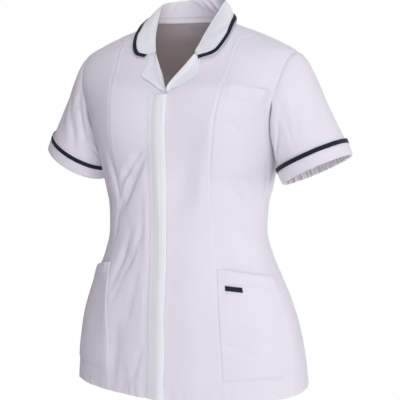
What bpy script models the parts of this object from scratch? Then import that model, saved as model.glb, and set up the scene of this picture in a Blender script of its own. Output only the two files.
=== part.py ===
"""A woman's work tunic in white polycotton with navy trim, filled out as it is when worn.

The garment is a cloth wall round a hollow. Its form is a stack of oval sections, from the hem up to
the neck. Each panel is a stretch of that form between two seams, with a wall of cloth thickness.
What lies on a panel, such as a pocket or the placket, is made from the panel's own points, moved out.

Frame: metres, +Z up, the wearer faces -Y and the wearer's left is +X. The origin is in the neck
opening, level with the side of the neck, where the shoulders carry the tunic.
"""

import math

import bpy
import numpy as np

# Driving sizes
CLOTH = 0.0015
THIN_CLOTH = 0.0012
TRIM_CLOTH = 0.0010
SEAM_GAP = 0.0003
LAYER_GAP = 0.0003
POCKET_LIFT = 0.0006
LAPEL_LIFT = 0.0010
SHARP_EDGE_DEGREES = 50
NORMAL_STEP = 0.004

HEM_LEVEL = -0.640
HEM_SIDE_RISE = 0.0065
HEM_EASE = 0.20
UNDERARM_LEVEL = -0.205
SHOULDER_LEVEL = -0.053
NECK_LEVEL = 0.0055

PLACKET_HALF_WIDTH = 0.015
UNDERLAP_EDGE = -0.010
UNDERLAP_DEPTH = 0.0028
UNDERLAP_EASE = (0.001, 0.022)
UNDERLAP_TOP = (-0.104, -0.080)

ARMHOLE_HALF_HEIGHT = (SHOULDER_LEVEL - UNDERARM_LEVEL) / 2
ARMHOLE_MIDDLE = (SHOULDER_LEVEL + UNDERARM_LEVEL) / 2
ARMHOLE_FRONT = 0.050
ARMHOLE_BACK = 0.054

CUFF_BAND = 0.027
CUFF_TRIM = 0.0072
COLLAR_TRIM = 0.0072

# Grid counts, the same on both sides of every seam
ROWS_BELOW_UNDERARM = 13
ROWS_ABOVE_UNDERARM = 12
CENTRE_COLUMNS = 7
PLACKET_COLUMNS = 2
SIDE_COLUMNS = 5
BACK_NECK_COLUMNS = 6
SLEEVE_ROWS = 7
BREAK_EASE_ROWS = 3

# Oval sections of the filled-out form. Depths are measured from the section's centre.
SECTIONS = {
    "columns": ("height", "half_width", "front_depth", "back_depth", "centre_y", "squareness"),
    "rows": (
        (-0.660, 0.2155, 0.1150, 0.2030, 0.000, 2.15),
        (-0.600, 0.2115, 0.1145, 0.1910, 0.000, 2.15),
        (-0.560, 0.2065, 0.1140, 0.1780, 0.000, 2.15),
        (-0.520, 0.1995, 0.1135, 0.1590, 0.000, 2.15),
        (-0.480, 0.1870, 0.1130, 0.1430, 0.000, 2.15),
        (-0.440, 0.1705, 0.1125, 0.1280, 0.000, 2.15),
        (-0.400, 0.1525, 0.1120, 0.1200, 0.000, 2.15),
        (-0.360, 0.1420, 0.1110, 0.1140, 0.000, 2.20),
        (-0.320, 0.1430, 0.1105, 0.1230, 0.000, 2.20),
        (-0.280, 0.1510, 0.1110, 0.1330, 0.000, 2.25),
        (-0.240, 0.1590, 0.1130, 0.1260, 0.000, 2.35),
        (-0.205, 0.1665, 0.1140, 0.1150, 0.000, 2.40),
        (-0.170, 0.1780, 0.1130, 0.1080, 0.000, 2.40),
        (-0.140, 0.1900, 0.1090, 0.1030, 0.000, 2.40),
        (-0.118, 0.1995, 0.1035, 0.0980, 0.000, 2.40),
        (-0.086, 0.2110, 0.0820, 0.0890, 0.003, 2.40),
        (-0.068, 0.2085, 0.0725, 0.0800, 0.005, 2.35),
        (-0.053, 0.2000, 0.0650, 0.0725, 0.007, 2.30),
        (-0.035, 0.1690, 0.0530, 0.0640, 0.009, 2.20),
        (-0.020, 0.1345, 0.0430, 0.0570, 0.010, 2.10),
        (-0.003, 0.0890, 0.0300, 0.0510, 0.011, 2.00),
        (0.010, 0.0588, 0.0200, 0.0470, 0.012, 2.00),
    ),
}

# Front princess seams, from the hem to the middle of the shoulder, on the wearer's left and right
PRINCESS_SEAM = {
    "columns": ("height", "left", "right"),
    "rows": (
        (-0.660, 0.1180, 0.1010),
        (-0.550, 0.1090, 0.1015),
        (-0.480, 0.1035, 0.1040),
        (-0.415, 0.0980, 0.1055),
        (-0.350, 0.0915, 0.0940),
        (-0.300, 0.0880, 0.0890),
        (-0.240, 0.0900, 0.0930),
        (-0.205, 0.0935, 0.0930),
        (-0.165, 0.0985, 0.0910),
        (-0.125, 0.1060, 0.0950),
        (-0.090, 0.1110, 0.1050),
        (-0.045, 0.1130, 0.1130),
        (-0.014, 0.1142, 0.1142),
    ),
}
PRINCESS_TOP = -0.014

# Neck edge of each front, from the bottom of the roll line to the side of the neck
NECK_EDGE_RIGHT = {
    "columns": ("step", "across", "height"),
    "rows": (
        (0.0, 0.0150, -0.124),
        (2.0, -0.0070, -0.093),
        (4.0, -0.0390, -0.055),
        (6.0, -0.0530, -0.026),
        (8.0, -0.0685, 0.0055),
    ),
}
NECK_EDGE_LEFT = {
    "columns": ("step", "across", "height"),
    "rows": (
        (0.0, -0.0040, -0.133),
        (2.0, 0.0165, -0.093),
        (4.0, 0.0390, -0.055),
        (6.0, 0.0530, -0.026),
        (8.0, 0.0685, 0.0055),
    ),
}
NECK_STEPS = 8
GORGE_STEP = 4

# Lapel outlines in rows above the break and columns from the roll line, share 0 at the lower tip
LAPELS = {
    "right": {
        "columns": ("share", "inner_row", "inner_column", "outer_row", "outer_column"),
        "rows": (
            (0.0, 0.06, 0.00, 0.10, 0.14),
            (0.2, 0.75, 0.00, 0.62, 0.80),
            (0.4, 1.60, 0.00, 1.36, 1.62),
            (0.6, 2.40, 0.00, 2.22, 2.50),
            (0.8, 3.20, 0.00, 3.20, 1.36),
            (1.0, 3.84, 0.00, 3.78, 0.74),
        ),
    },
    "left": {
        "columns": ("share", "inner_row", "inner_column", "outer_row", "outer_column"),
        "rows": (
            (0.0, 0.70, 1.44, 0.76, 1.62),
            (0.2, 1.12, 0.32, 1.20, 2.30),
            (0.4, 1.80, 0.02, 1.72, 3.00),
            (0.6, 2.50, 0.00, 2.36, 3.37),
            (0.8, 3.25, 0.00, 3.05, 2.60),
            (1.0, 3.80, 0.00, 3.72, 1.42),
        ),
    },
}
LAPEL_ROWS = 8
LAPEL_COLUMNS = 5

# Fullness over the bust, shaped by the princess seams
BUST_ACROSS = 0.088
BUST_LEVEL = -0.165
BUST_REACH = 0.058
BUST_FULLNESS = 0.009
BUST_FRONT = (0.01, 0.05)

# Largest soft folds: a trough between two places, given by angle round the body and height
FOLDS = {
    "columns": ("start_angle", "start_height", "end_angle", "end_height", "reach", "depth"),
    "rows": (
        (-7.0, -0.225, -32.0, -0.325, 0.011, 0.0028),
        (-34.0, -0.235, -33.0, -0.310, 0.011, 0.0026),
        (-48.0, -0.235, -60.0, -0.330, 0.012, 0.0032),
        (-22.0, -0.360, -31.0, -0.455, 0.011, 0.0026),
        (-23.0, -0.490, -24.0, -0.640, 0.014, 0.0028),
        (18.0, -0.140, 14.0, -0.370, 0.022, 0.0026),
        (42.0, -0.262, 66.0, -0.315, 0.011, 0.0018),
        (70.0, -0.300, 88.0, -0.350, 0.014, 0.0028),
        (78.0, -0.470, 74.0, -0.640, 0.016, 0.0032),
        (150.0, -0.400, 146.0, -0.650, 0.020, 0.0045),
        (-150.0, -0.420, -143.0, -0.650, 0.020, 0.0045),
        (165.0, -0.300, 120.0, -0.350, 0.014, 0.0030),
        (-165.0, -0.310, -122.0, -0.345, 0.014, 0.0030),
    ),
}
FOLD_GIRTH_RADIUS = 0.145
FOLD_END_SHARE = 0.35

# Pocket, label and loop outlines by column of the panel they lie on, in its rows
CHEST_POCKET = {
    "columns": ("column", "bottom_row", "top_row"),
    "rows": ((0.12, 11.30, 19.04), (1.80, 11.33, 19.19), (3.20, 11.66, 19.32), (4.35, 11.97, 19.42)),
}
LOWER_POCKET = {
    "columns": ("column", "bottom_row", "top_row"),
    "rows": ((0.25, 1.15, 6.70), (4.90, 1.15, 6.03)),
}
POCKET_LABEL = {
    "columns": ("column", "bottom_row", "top_row"),
    "rows": ((0.47, 5.65, 5.90), (1.50, 5.53, 5.78)),
}
NECK_LOOP = {
    "columns": ("column", "bottom_row", "top_row"),
    "rows": ((11.75, 24.46, 24.88), (14.25, 24.46, 24.88)),
}

# Collar by station, from the gorge (0) past the side of the neck (4) to the centre back (10)
COLLAR = {
    "columns": ("station", "roll_x", "roll_y", "roll_z", "edge_x", "edge_y", "edge_z"),
    "rows": (
        (0.0, 0.0385, -0.0570, -0.0500, 0.0510, -0.0645, -0.0610),
        (1.0, 0.0430, -0.0455, -0.0370, 0.0680, -0.0640, -0.0585),
        (2.0, 0.0475, -0.0330, -0.0220, 0.0815, -0.0550, -0.0460),
        (3.0, 0.0525, -0.0150, -0.0020, 0.0885, -0.0300, -0.0200),
        (4.0, 0.0580, 0.0040, 0.0190, 0.0890, 0.0000, 0.0010),
        (5.0, 0.0610, 0.0190, 0.0350, 0.0865, 0.0210, 0.0035),
        (6.0, 0.0575, 0.0340, 0.0400, 0.0800, 0.0400, 0.0025),
        (7.0, 0.0475, 0.0470, 0.0425, 0.0680, 0.0550, 0.0025),
        (8.0, 0.0340, 0.0550, 0.0440, 0.0500, 0.0660, 0.0030),
        (9.0, 0.0170, 0.0590, 0.0450, 0.0260, 0.0715, 0.0035),
        (10.0, 0.0000, 0.0605, 0.0450, 0.0000, 0.0730, 0.0040),
    ),
}
# How much longer the fall is than the table gives, on the wearer's left and right
FALL_EXTRA = {
    "columns": ("station", "left", "right"),
    "rows": (
        (0.0, 0.0000, 0.0000),
        (1.0, 0.0070, -0.0020),
        (2.0, 0.0100, -0.0030),
        (3.0, 0.0070, -0.0020),
        (4.5, 0.0000, 0.0000),
        (10.0, 0.0000, 0.0000),
    ),
}
COLLAR_BACK_STATION = 10
COLLAR_FOOT_GAP = 0.0007
COLLAR_FOLD_HALF = 0.0012
COLLAR_ARCH = 0.12
FALL_SHARES = (0.35, 0.7, 0.88, 1.0)

# Sleeve openings: the middle of the hem, its outward half and its forward half. Side 1 is the left.
SLEEVES = {
    "columns": ("side", "middle", "outward_half", "forward_half", "cap"),
    "rows": (
        (1, (0.2370, 0.012, -0.2497), (0.0600, -0.0037, 0.0267), (0.0053, -0.0583, 0.0011), 0.009),
        (-1, (0.2342, 0.012, -0.2437), (0.0537, -0.0030, 0.0303), (-0.0049, -0.0577, -0.0085), 0.005),
    ),
}
CAP_PEAK = 0.18
CAP_SHARPNESS = 1.5
CAP_AT_SIDES = 0.4

# Colours, from the photograph
WHITE_CLOTH = (0.80, 0.79, 0.83, 1.0)
NAVY_CLOTH = (0.012, 0.012, 0.030, 1.0)
GREY_CLOTH = (0.33, 0.31, 0.32, 1.0)
WHITE_ROUGHNESS = 0.85
TRIM_ROUGHNESS = 0.75


def smooth_read(table, name, at):
    """Read a table's column at any place, along a smooth curve through its rows."""
    keys = np.array([row[0] for row in table["rows"]])
    column = table["columns"].index(name)
    values = np.array([row[column] for row in table["rows"]])
    at = np.clip(np.asarray(at, dtype=float), keys[0], keys[-1])
    steps = np.diff(keys)
    rises = np.diff(values) / steps
    slopes = np.zeros(len(keys))
    slopes[0] = rises[0]
    slopes[-1] = rises[-1]
    for i in range(1, len(keys) - 1):
        if rises[i - 1] * rises[i] > 0:
            before = 2 * steps[i] + steps[i - 1]
            after = steps[i] + 2 * steps[i - 1]
            slopes[i] = (before + after) / (before / rises[i - 1] + after / rises[i])
    i = np.clip(np.searchsorted(keys, at, side="right") - 1, 0, len(steps) - 1)
    t = (at - keys[i]) / steps[i]
    value = (1 + 2 * t) * (1 - t) ** 2 * values[i]
    value += t * (1 - t) ** 2 * steps[i] * slopes[i]
    value += t * t * (3 - 2 * t) * values[i + 1]
    value -= t * t * (1 - t) * steps[i] * slopes[i + 1]
    return value


def ramp(value, start, end):
    """0 before start, 1 after end, a smooth rise between."""
    t = np.clip((value - start) / (end - start), 0.0, 1.0)
    return t * t * (3 - 2 * t)


def unit(vectors):
    """Vectors at length one."""
    return vectors / np.maximum(np.linalg.norm(vectors, axis=-1, keepdims=True), 1e-12)


def angle_at(across, height):
    """Angle round the front at which the form is this far from the centre line."""
    share = np.clip(np.abs(across) / smooth_read(SECTIONS, "half_width", height), 0.0, 1.0)
    power = smooth_read(SECTIONS, "squareness", height) / 2
    return np.sign(across) * np.arcsin(share ** power)


def oval_point(angle, height):
    """Point of the oval section at an angle from the centre front, + to the wearer's left."""
    power = 2 / smooth_read(SECTIONS, "squareness", height)
    side = np.sin(angle)
    front = np.cos(angle)
    front_depth = smooth_read(SECTIONS, "front_depth", height)
    back_depth = smooth_read(SECTIONS, "back_depth", height)
    depth = np.where(front > 0, front_depth, back_depth)
    x = smooth_read(SECTIONS, "half_width", height) * np.sign(side) * np.abs(side) ** power
    y = smooth_read(SECTIONS, "centre_y", height) - depth * np.sign(front) * np.abs(front) ** power
    return np.stack([x, y, height + 0 * x], axis=-1)


def oval_normal(angle, height):
    """Outward direction of the form, from points close by."""
    round_step = oval_point(angle + NORMAL_STEP, height) - oval_point(angle - NORMAL_STEP, height)
    up_step = oval_point(angle, height + NORMAL_STEP) - oval_point(angle, height - NORMAL_STEP)
    return unit(np.cross(round_step, up_step))


def fold_depth(angle, height):
    """How far the soft folds press the cloth in."""
    girth = angle * FOLD_GIRTH_RADIUS
    total = 0 * girth
    for start_angle, start_height, end_angle, end_height, reach, depth in FOLDS["rows"]:
        ax = math.radians(start_angle) * FOLD_GIRTH_RADIUS
        bx = math.radians(end_angle) * FOLD_GIRTH_RADIUS
        run_x = bx - ax
        run_z = end_height - start_height
        along = ((girth - ax) * run_x + (height - start_height) * run_z) / (run_x ** 2 + run_z ** 2)
        held = np.clip(along, 0.0, 1.0)
        away = np.hypot(girth - ax - held * run_x, height - start_height - held * run_z)
        swell = FOLD_END_SHARE + (1 - FOLD_END_SHARE) * np.sin(math.pi * held) ** 2
        total = total + depth * swell * np.exp(-((away / reach) ** 2))
    return total


def bust_fullness(point):
    """How far the princess seams let the front stand out over the bust."""
    across = np.abs(point[..., 0]) - BUST_ACROSS
    away = np.hypot(across, point[..., 2] - BUST_LEVEL)
    on_front = ramp(-point[..., 1], *BUST_FRONT)
    return BUST_FULLNESS * on_front * np.exp(-((away / BUST_REACH) ** 2))


def body(angle, height):
    """Point of the filled-out tunic: the oval form with its bust and its largest folds."""
    angle = np.asarray(angle, dtype=float)
    height = np.asarray(height, dtype=float) + 0 * angle
    point = oval_point(angle, height)
    wrapped = (angle + math.pi) % (2 * math.pi) - math.pi
    out = bust_fullness(point) - fold_depth(wrapped, height)
    return point + oval_normal(angle, height) * out[..., None]


def hem_level(angle):
    """The hem rises a little at the sides."""
    return HEM_LEVEL + HEM_SIDE_RISE * np.sin(angle) ** 2


def row_levels():
    """Heights of the rows on the princess seam, hem to shoulder."""
    low = np.linspace(HEM_LEVEL, UNDERARM_LEVEL, ROWS_BELOW_UNDERARM + 1)
    high = np.linspace(UNDERARM_LEVEL, PRINCESS_TOP, ROWS_ABOVE_UNDERARM + 1)
    return np.concatenate([low, high[1:]])


def armhole(turn, side):
    """Armhole edge, turn 0 at the shoulder and pi at the underarm. Side 1 is front, -1 is back."""
    height = ARMHOLE_MIDDLE + ARMHOLE_HALF_HEIGHT * np.cos(turn)
    centre = smooth_read(SECTIONS, "centre_y", height)
    column = "front_depth" if side > 0 else "back_depth"
    reach = ARMHOLE_FRONT if side > 0 else ARMHOLE_BACK
    share = reach * np.sin(turn) / smooth_read(SECTIONS, column, height)
    power = smooth_read(SECTIONS, "squareness", height) / 2
    lean = np.arccos(np.clip(share, 0.0, 1.0) ** power)
    return (lean if side > 0 else math.pi - lean), height + 0 * centre


def side_edge(side):
    """Angle and height of every row on the side seam and then the armhole, wearer's left."""
    levels = row_levels()[:ROWS_BELOW_UNDERARM + 1]
    turns = np.linspace(math.pi, 0, ROWS_ABOVE_UNDERARM + 1)[1:]
    angles, heights = armhole(turns, side)
    seam = np.full(len(levels), math.pi / 2)
    return np.concatenate([seam, angles]), np.concatenate([levels, heights])


def dropped_to_hem(angles, heights):
    """Lower the bottom rows to the hem's own line, less and less up to the waist."""
    share = 1 - ramp(heights, HEM_LEVEL, HEM_LEVEL + HEM_EASE)
    return heights + (hem_level(angles) - HEM_LEVEL) * share


def centre_front_grid(wearer_left):
    """Angles and heights of a centre front panel: rows hem to shoulder, columns edge to seam."""
    levels = row_levels()
    mirror = 1 if wearer_left else -1
    word = "left" if wearer_left else "right"
    seam_angle = mirror * angle_at(smooth_read(PRINCESS_SEAM, word, levels), levels)
    seam_angle[-1] = mirror * math.pi / 2
    edge_table = NECK_EDGE_LEFT if wearer_left else NECK_EDGE_RIGHT
    low_across = UNDERLAP_EDGE if wearer_left else PLACKET_HALF_WIDTH
    line_across = PLACKET_HALF_WIDTH if wearer_left else -PLACKET_HALF_WIDTH
    break_row = len(levels) - 1 - NECK_STEPS
    break_height = edge_table["rows"][0][2]
    low_rows = np.arange(break_row + 1)
    chest = np.linspace(UNDERARM_LEVEL, break_height, break_row - ROWS_BELOW_UNDERARM + 1)
    edge_height = np.concatenate([levels[:ROWS_BELOW_UNDERARM], chest])
    edge_across = np.full(len(low_rows), low_across)
    steps = np.arange(1, NECK_STEPS + 1)
    edge_height = np.concatenate([edge_height, smooth_read(edge_table, "height", steps)])
    edge_across = np.concatenate([edge_across, smooth_read(edge_table, "across", steps)])
    edge_across[break_row] = edge_table["rows"][0][1]
    edge_angle = angle_at(edge_across, edge_height)
    edge_angle[-1] = mirror * math.pi / 2
    line_share = PLACKET_COLUMNS / CENTRE_COLUMNS
    open_angle = edge_angle + line_share * (seam_angle - edge_angle)
    set_angle = angle_at(np.full(len(levels), line_across), edge_height)
    mix = ramp(np.arange(len(levels)), break_row, break_row + BREAK_EASE_ROWS)
    line_angle = set_angle + mix * (open_angle - set_angle)
    angles = []
    heights = []
    for column in range(CENTRE_COLUMNS + 1):
        if column <= PLACKET_COLUMNS:
            share = column / PLACKET_COLUMNS
            angles.append(edge_angle + share * (line_angle - edge_angle))
        else:
            share = (column - PLACKET_COLUMNS) / (CENTRE_COLUMNS - PLACKET_COLUMNS)
            angles.append(line_angle + share * (seam_angle - line_angle))
        heights.append(edge_height + column / CENTRE_COLUMNS * (levels - edge_height))
    angles = np.stack(angles, axis=1)
    return angles, dropped_to_hem(angles, np.stack(heights, axis=1))


def centre_front_points(wearer_left):
    """Outer points and directions of a centre front. The left one sinks where the right one laps it."""
    angles, heights = centre_front_grid(wearer_left)
    points = body(angles, heights)
    normals = oval_normal(angles, heights)
    if wearer_left:
        near = 1 - ramp(points[..., 0] - PLACKET_HALF_WIDTH, *UNDERLAP_EASE)
        low = 1 - ramp(points[..., 2], *UNDERLAP_TOP)
        sink = UNDERLAP_DEPTH * near * low
        points = points - normals * sink[..., None]
    return points, normals


def side_front_points(wearer_left):
    """Outer points and directions of a side front: rows hem to shoulder, columns princess to side."""
    levels = row_levels()
    word = "left" if wearer_left else "right"
    seam_angle = angle_at(smooth_read(PRINCESS_SEAM, word, levels), levels)
    seam_angle[-1] = math.pi / 2
    edge_angle, edge_height = side_edge(1)
    share = np.linspace(0, 1, SIDE_COLUMNS + 1)[None, :]
    angles = seam_angle[:, None] + share * (edge_angle - seam_angle)[:, None]
    heights = levels[:, None] + share * (edge_height - levels)[:, None]
    mirror = 1 if wearer_left else -1
    angles = mirror * angles
    heights = dropped_to_hem(angles, heights)
    return body(angles, heights), oval_normal(angles, heights)


def shoulder_heights():
    """Heights of the back's columns along the shoulder seam, shoulder point to neck."""
    side_part = np.linspace(SHOULDER_LEVEL, PRINCESS_TOP, SIDE_COLUMNS + 1)
    neck_part = np.linspace(PRINCESS_TOP, NECK_LEVEL, 3)
    return np.concatenate([side_part, neck_part[1:]])


def back_points():
    """Outer points and directions of the back: rows hem to neck, columns wearer's left to right."""
    edge_angle, edge_height = side_edge(-1)
    shoulder = shoulder_heights()
    columns = len(shoulder) - 1 + BACK_NECK_COLUMNS
    share = np.linspace(0, 1, columns + 1)
    top_angle = np.full(columns + 1, math.pi / 2)
    top_angle[len(shoulder) - 1:] = np.linspace(math.pi / 2, math.pi, BACK_NECK_COLUMNS + 1)
    top_height = np.full(columns + 1, NECK_LEVEL)
    top_height[:len(shoulder)] = shoulder
    rise = ramp(np.arange(len(edge_height)), ROWS_BELOW_UNDERARM, len(edge_height) - 1)
    centre_height = edge_height.copy()
    up = slice(ROWS_BELOW_UNDERARM, None)
    centre_height[up] = np.linspace(UNDERARM_LEVEL, NECK_LEVEL, ROWS_ABOVE_UNDERARM + 1)
    angles = edge_angle[:, None] + share[None, :] * (math.pi - edge_angle)[:, None]
    heights = edge_height[:, None] + share[None, :] * (centre_height - edge_height)[:, None]
    angles = angles + (rise ** 2)[:, None] * (top_angle - angles[-1])[None, :]
    heights = heights + (rise ** 2)[:, None] * (top_height - heights[-1])[None, :]
    angles = np.concatenate([angles, (2 * math.pi - angles)[:, ::-1][:, 1:]], axis=1)
    heights = np.concatenate([heights, heights[:, ::-1][:, 1:]], axis=1)
    heights = dropped_to_hem(angles, heights)
    return body(angles, heights), oval_normal(angles, heights)


def grid_normals(points, closed=False):
    """Outward direction at each point of a grid of rows and columns."""
    if closed:
        round_step = np.roll(points, -1, axis=1) - np.roll(points, 1, axis=1)
    else:
        round_step = np.gradient(points, axis=1)
    up_step = np.gradient(points, axis=0)
    return unit(np.cross(round_step, up_step))


def pull_in(points, distance, rows=(), columns=()):
    """Move the border rows and columns of a grid towards its inside, to leave a seam gap."""
    moved = points.copy()
    for row in rows:
        inner = 1 if row == 0 else -2
        moved[row] = moved[row] + unit(points[inner] - points[row]) * distance
    for column in columns:
        inner = 1 if column == 0 else -2
        step = unit(points[:, inner] - points[:, column]) * distance
        moved[:, column] = moved[:, column] + step
    return moved


def grid_at(points, row, column):
    """Point of a grid between its rows and columns."""
    i = int(min(math.floor(row), points.shape[0] - 2))
    j = int(min(math.floor(column), points.shape[1] - 2))
    s = row - i
    t = column - j
    low = points[i, j] * (1 - t) + points[i, j + 1] * t
    high = points[i + 1, j] * (1 - t) + points[i + 1, j + 1] * t
    return low * (1 - s) + high * s


def lines_between(start, end):
    """Both ends of a stretch of grid and every whole line between."""
    inner = np.arange(math.floor(start) + 1, math.ceil(end))
    return np.concatenate([[start], inner, [end]])


def patch_on(panel, outline, lift):
    """Points moved out from the stretch of a panel inside an outline, and their directions."""
    points, normals = panel
    columns = lines_between(outline["rows"][0][0], outline["rows"][-1][0])
    bottoms = smooth_read(outline, "bottom_row", columns)
    tops = smooth_read(outline, "top_row", columns)
    between = np.arange(math.floor(bottoms.max()) + 1, math.ceil(tops.min()))
    places = []
    directions = []
    for row in range(len(between) + 2):
        line = []
        outward = []
        for column, bottom, top in zip(columns, bottoms, tops):
            height = [bottom, *between, top][row]
            out = unit(grid_at(normals, height, column))
            line.append(grid_at(points, height, column) + out * lift)
            outward.append(out)
        places.append(line)
        directions.append(outward)
    return np.array(places), np.array(directions)


def cloth_material(name, colour, roughness):
    """A Principled material for one cloth."""
    material = bpy.data.materials.get(name)
    if material is None:
        material = bpy.data.materials.new(name)
        material.use_nodes = True
        shader = material.node_tree.nodes["Principled BSDF"]
        shader.inputs["Base Color"].default_value = colour
        shader.inputs["Roughness"].default_value = roughness
        shader.inputs["Metallic"].default_value = 0.0
    return material


def wall_object(name, outer, inner, material, closed=False):
    """One closed cloth wall between an outer and an inner grid of points."""
    rows, columns = outer.shape[:2]
    vertices = np.concatenate([outer.reshape(-1, 3), inner.reshape(-1, 3)])
    offset = rows * columns
    spans = columns if closed else columns - 1
    faces = []

    def corner(row, column, side):
        return side * offset + row * columns + column % columns

    for row in range(rows - 1):
        for column in range(spans):
            a, b = corner(row, column, 0), corner(row, column + 1, 0)
            c, d = corner(row + 1, column + 1, 0), corner(row + 1, column, 0)
            faces += [(a, b, c), (a, c, d)]
            e, f = corner(row, column, 1), corner(row, column + 1, 1)
            g, h = corner(row + 1, column + 1, 1), corner(row + 1, column, 1)
            faces += [(e, g, f), (e, h, g)]
    for column in range(spans):
        for row, flip in ((0, True), (rows - 1, False)):
            a, b = corner(row, column, 0), corner(row, column + 1, 0)
            c, d = corner(row, column + 1, 1), corner(row, column, 1)
            pair = [(a, b, c), (a, c, d)]
            faces += [tuple(reversed(face)) for face in pair] if flip else pair
    if not closed:
        for row in range(rows - 1):
            for column, flip in ((0, False), (columns - 1, True)):
                a, b = corner(row, column, 0), corner(row + 1, column, 0)
                c, d = corner(row + 1, column, 1), corner(row, column, 1)
                pair = [(a, b, c), (a, c, d)]
                faces += [tuple(reversed(face)) for face in pair] if flip else pair
    mesh = bpy.data.meshes.new(name)
    mesh.from_pydata(vertices.tolist(), [], faces)
    mesh.materials.append(material)
    mesh.update()
    mesh.shade_smooth()
    mesh.set_sharp_from_angle(angle=math.radians(SHARP_EDGE_DEGREES))
    made = bpy.data.objects.new(name, mesh)
    bpy.context.collection.objects.link(made)
    return made


def panel_object(name, panel, material, flipped=False, rows=(), columns=()):
    """A panel with its wall inside its outer points and a seam gap along the named borders."""
    points, normals = panel
    outer = pull_in(points, SEAM_GAP / 2, rows, columns)
    inner = outer - normals * CLOTH
    if flipped:
        return wall_object(name, outer[:, ::-1], inner[:, ::-1], material)
    return wall_object(name, outer, inner, material)


def layer_object(name, base, normals, thickness, material, flipped=False, closed=False):
    """A piece that lies on another: its points are the underside, and its wall stands out."""
    outer = base + normals * thickness
    if flipped:
        return wall_object(name, outer[:, ::-1], base[:, ::-1], material, closed)
    return wall_object(name, outer, base, material, closed)


def clear_scene():
    """Remove what the scene starts with."""
    for item in list(bpy.data.objects):
        bpy.data.objects.remove(item, do_unlink=True)


def make_body(cloth):
    """Front panels, side fronts and the back. Returns the grids that other pieces lie on."""
    grids = {}
    for word, wearer_left in (("right", False), ("left", True)):
        centre = centre_front_points(wearer_left)
        side = side_front_points(wearer_left)
        flipped = not wearer_left
        panel_object("front_centre_" + word, centre, cloth, flipped, (-1,), (-1,))
        panel_object("front_side_" + word, side, cloth, flipped, (-1,), (0, -1))
        grids["centre_" + word] = centre
        grids["side_" + word] = side
    grids["back"] = back_points()
    panel_object("back_panel", grids["back"], cloth, False, (-1,), (0, -1))
    return grids


def make_placket(grids, cloth):
    """The stitched strip down the edge of the right front, from the break to the hem."""
    points, normals = grids["centre_right"]
    top_row = len(points) - 1 - NECK_STEPS
    out = normals[:top_row + 1, :PLACKET_COLUMNS + 1]
    base = points[:top_row + 1, :PLACKET_COLUMNS + 1] + out * LAYER_GAP
    layer_object("placket", base, out, THIN_CLOTH, cloth, True)


def make_lapel(word, grids, cloth):
    """The turned-back top of a front, folded out along the roll line."""
    points, normals = grids["centre_" + word]
    break_row = len(points) - 1 - NECK_STEPS
    outline = LAPELS[word]
    places = []
    directions = []
    for share in np.linspace(0, 1, LAPEL_ROWS):
        ends = [smooth_read(outline, name, share) for name in outline["columns"][1:]]
        inner_row, inner_column, outer_row, outer_column = ends
        line = []
        outward = []
        for across in np.linspace(0, 1, LAPEL_COLUMNS):
            row = break_row + inner_row + across * (outer_row - inner_row)
            column = inner_column + across * (outer_column - inner_column)
            out = unit(grid_at(normals, row, column))
            line.append(grid_at(points, row, column) + out * LAPEL_LIFT)
            outward.append(out)
        places.append(line)
        directions.append(outward)
    base = np.array(places)
    layer_object("lapel_" + word, base, np.array(directions), THIN_CLOTH, cloth, word == "right")


def make_pockets(grids, cloth, navy):
    """The chest pocket and both lower pockets, with the bare tab on the wearer's left one."""
    base, out = patch_on(grids["side_left"], CHEST_POCKET, POCKET_LIFT)
    layer_object("chest_pocket", base, out, THIN_CLOTH, cloth)
    for word in ("left", "right"):
        base, out = patch_on(grids["side_" + word], LOWER_POCKET, POCKET_LIFT)
        layer_object("pocket_" + word, base, out, THIN_CLOTH, cloth, word == "right")
    base, out = patch_on(grids["side_left"], POCKET_LABEL, 2 * POCKET_LIFT + THIN_CLOTH)
    layer_object("pocket_label", base, out, TRIM_CLOTH, navy)


def sleeve_grid(shape):
    """Outer points of a sleeve, as if the wearer's left: rows armhole to hem, columns from the top."""
    turns = np.linspace(0, math.pi, ROWS_ABOVE_UNDERARM + 1)
    front_angle, front_height = armhole(turns, 1)
    back_angle, back_height = armhole(turns[::-1], -1)
    loop_angle = np.concatenate([front_angle, back_angle[1:-1]])
    loop_height = np.concatenate([front_height, back_height[1:-1]])
    loop = body(loop_angle, loop_height)
    around = np.linspace(0, 2 * math.pi, len(loop), endpoint=False)
    middle, outward, forward = [np.array(vector) for vector in shape[1:4]]
    cap = shape[4]
    hem = middle + np.cos(around)[:, None] * outward + np.sin(around)[:, None] * forward
    upwards = unit(np.cross(outward, forward))
    upwards = upwards * np.sign(upwards[2])
    along = np.roll(loop, -1, axis=0) - np.roll(loop, 1, axis=0)
    outwards = oval_normal(loop_angle, loop_height)
    into_hole = unit(np.cross(outwards, along))
    lower = ((1 - np.cos(around)) / 2)[:, None]
    start = loop + (into_hole + outwards * lower) * SEAM_GAP
    cuff_top = hem + upwards * CUFF_BAND
    grid = []
    for share in np.linspace(0, 1, SLEEVE_ROWS):
        line = start + share * (cuff_top - start)
        swell = cap * share / CAP_PEAK * math.exp(1 - share / CAP_PEAK) * (1 - share ** 4)
        away = unit(line - line.mean(axis=0))
        over_top = np.clip(np.cos(around), 0, 1) ** CAP_SHARPNESS
        fuller = over_top + CAP_AT_SIDES * np.abs(np.sin(around))
        grid.append(line + away * (swell * fuller)[:, None])
    grid.append(hem + upwards * (CUFF_BAND - CUFF_TRIM))
    grid.append(hem)
    return np.array(grid), outwards


def sleeve_normals(grid, seam_normals):
    """Outward directions of a sleeve, turned to the body's own along the armhole where they agree."""
    normals = grid_normals(grid, closed=True)
    agree = ramp(np.sum(normals[0] * seam_normals, axis=-1), 0.0, 0.5)[:, None]
    normals[0] = unit(normals[0] * (1 - agree) + seam_normals * agree)
    return normals


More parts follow.
